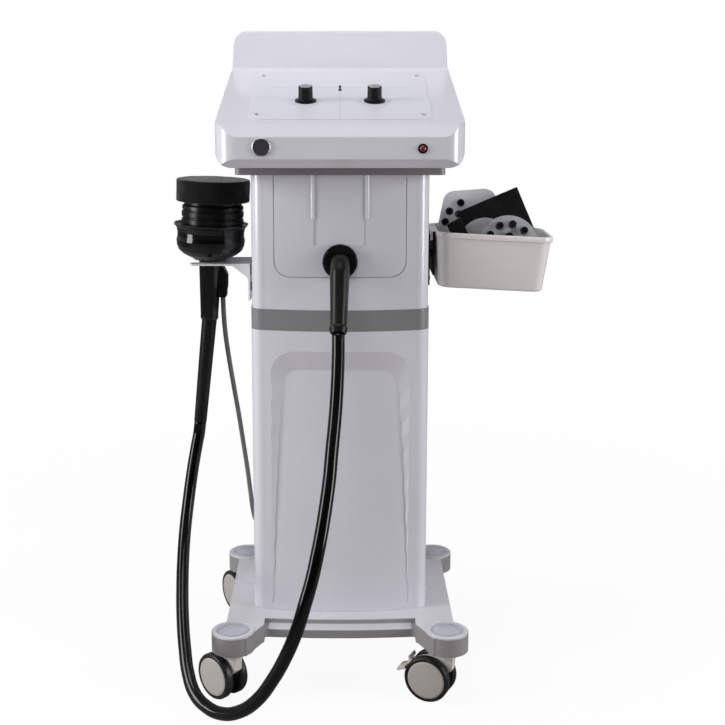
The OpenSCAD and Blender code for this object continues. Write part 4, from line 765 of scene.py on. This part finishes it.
def scale_print(name, side, ticks, long_every):
    bm = bmesh.new()
    for count in range(ticks):
        turn = radians(-scale_sweep / 2 + scale_sweep * count / (ticks - 1))
        width, length = short_mark if count % long_every else long_mark
        place = (knob_place(side, ink_height) @ Matrix.Rotation(-turn, 4, "Z")
                 @ Matrix.Translation((0, scale_radius + length / 2, 0)))
        add_mark(bm, place, width, length)
    obj = piece(name, bm, ink, smooth=False, weld=False)
    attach(obj, "machine")


scale_print("scale_left", -1, ticks=11, long_every=2)
scale_print("scale_right", 1, ticks=31, long_every=3)

# %% Ruled lines on the film
# One fine line parts the two dials, and one runs across above them.
line_ink = handled("panel_line", grey(0.42, 1.1), grey(0.46, 1.1), (0.35, 0.45), marks=200, edge=0)
line_width = 0.0005
lines_bm = bmesh.new()
add_mark(lines_bm, slope_place @ Matrix.Translation((0, 0.098, ink_height)), line_width, 0.134)
add_mark(lines_bm, slope_place @ Matrix.Translation((0, 0.192, ink_height)), 0.232, line_width)
lines = piece("panel_lines", lines_bm, line_ink, smooth=False, weld=False)
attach(lines, "machine")

# %% [markdown]
# ## Room, light and background
# A pale floor and a white room. For the camera the floor is mostly plain white, so that only a trace of the
# machine's shadow shows. The white's share grows with the distance, and far out the floor meets the
# background without a line. The room lights the machine evenly from all round. Soft boxes at the left, on
# top and at the right shape it, and a weak one by the camera fills the front without a reflection.

# %% Floor
near_distance, far_distance = 0.3, 2.0
near_share, far_share = 0.93, 1.0
floor_seen, floor_bounce = (0.95, 0.95, 0.95, 1), (0.3, 0.285, 0.27, 1)
floor_drop, floor_size = 0.0005, 30
floor_mat = bpy.data.materials.new("floor_white")
floor_mat.use_nodes = True
tree = floor_mat.node_tree
surface = tree.nodes["Principled BSDF"]
surface.inputs["Roughness"].default_value = 0.8
glow = add(tree, "ShaderNodeEmission")
seen = add(tree, "ShaderNodeLightPath")
in_sight = add(tree, "ShaderNodeMath", operation="MAXIMUM")
join(tree, seen.outputs["Is Camera Ray"], in_sight.inputs[0])
join(tree, seen.outputs["Is Transmission Ray"], in_sight.inputs[1])
far = add(tree, "ShaderNodeVectorMath", operation="LENGTH")
join(tree, add(tree, "ShaderNodeTexCoord").outputs["Object"], far.inputs[0])
share = add(tree, "ShaderNodeMath", operation="MULTIPLY")
white_share = ramp(tree, far.outputs["Value"], near_distance, far_distance, near_share, far_share)
join(tree, in_sight.outputs[0], share.inputs[0])
join(tree, white_share, share.inputs[1])
floor_tone = blend_colours(tree, in_sight.outputs[0], floor_bounce, floor_seen)
join(tree, floor_tone, surface.inputs["Base Color"])
both = add(tree, "ShaderNodeMixShader")
join(tree, share.outputs[0], both.inputs[0])
join(tree, surface.outputs[0], both.inputs[1])
join(tree, glow.outputs[0], both.inputs[2])
join(tree, both.outputs[0], tree.nodes["Material Output"].inputs["Surface"])

floor_bm = bmesh.new()
bmesh.ops.create_grid(floor_bm, x_segments=1, y_segments=1, size=floor_size)
bmesh.ops.translate(floor_bm, vec=(0, 0, -floor_drop), verts=floor_bm.verts)
floor = piece("floor", floor_bm, floor_mat, smooth=False)

# %% World
# The room is pale at the sides, behind and above. Towards the camera it is almost dark, as a studio is, and
# that dark patch is what gives a glossy front its depth. The camera itself sees plain white, also through
# clear plastic.
world = bpy.data.worlds.new("room")
bpy.context.scene.world = world
world.use_nodes = True
tree = world.node_tree
tree.nodes.clear()
direction = add(tree, "ShaderNodeSeparateXYZ")
join(tree, add(tree, "ShaderNodeTexCoord").outputs["Generated"], direction.inputs[0])
studio_from, studio_full = -0.1, -0.7
behind_camera = ramp(tree, direction.outputs["Y"], studio_from, studio_full)


def room(walls, studio):
    """A background whose colour goes from the walls' to the dim studio's towards the camera."""
    light = add(tree, "ShaderNodeBackground")
    join(tree, blend_colours(tree, behind_camera, walls, studio), light.inputs["Color"])
    return light


room_light = room(walls=(0.34, 0.35, 0.37, 1), studio=(0.03, 0.026, 0.026, 1))
room_gloss = room(walls=(0.30, 0.30, 0.31, 1), studio=(0.012, 0.011, 0.011, 1))
room_seen = add(tree, "ShaderNodeBackground")
room_seen.inputs["Color"].default_value = (1, 1, 1, 1)
rays = add(tree, "ShaderNodeLightPath")
gloss_or_light = add(tree, "ShaderNodeMixShader")
join(tree, rays.outputs["Is Glossy Ray"], gloss_or_light.inputs[0])
join(tree, room_light.outputs[0], gloss_or_light.inputs[1])
join(tree, room_gloss.outputs[0], gloss_or_light.inputs[2])
camera_or_clear = add(tree, "ShaderNodeMath", operation="MAXIMUM")
join(tree, rays.outputs["Is Camera Ray"], camera_or_clear.inputs[0])
join(tree, rays.outputs["Is Transmission Ray"], camera_or_clear.inputs[1])
choose = add(tree, "ShaderNodeMixShader")
join(tree, camera_or_clear.outputs[0], choose.inputs[0])
join(tree, gloss_or_light.outputs[0], choose.inputs[1])
join(tree, room_seen.outputs[0], choose.inputs[2])
out = add(tree, "ShaderNodeOutputWorld")
join(tree, choose.outputs[0], out.inputs["Surface"])


# %% Soft boxes
def soft_box(name, place, target, size, watts):
    lamp = bpy.data.lights.new(name, "AREA")
    lamp.shape = "RECTANGLE"
    lamp.size, lamp.size_y = size
    lamp.energy = watts
    obj = bpy.data.objects.new(name, lamp)
    bpy.context.scene.collection.objects.link(obj)
    obj.location = place
    obj.rotation_euler = (Vector(target) - Vector(place)).to_track_quat("-Z", "Y").to_euler()
    return obj


middle = (0, 0, 0.6)
soft_box("soft_left", (-2.2, -0.7, 1.2), middle, size=(0.8, 1.6), watts=40)
fill = soft_box("soft_fill", (-0.9, -2.5, 1.3), (0, 0, 0.55), size=(1.0, 1.0), watts=6)
fill.visible_glossy = False
soft_box("soft_top", (-0.2, -0.5, 2.8), middle, size=(1.4, 1.0), watts=19)
soft_box("soft_right", (2.3, -0.8, 1.0), middle, size=(0.7, 1.4), watts=32)
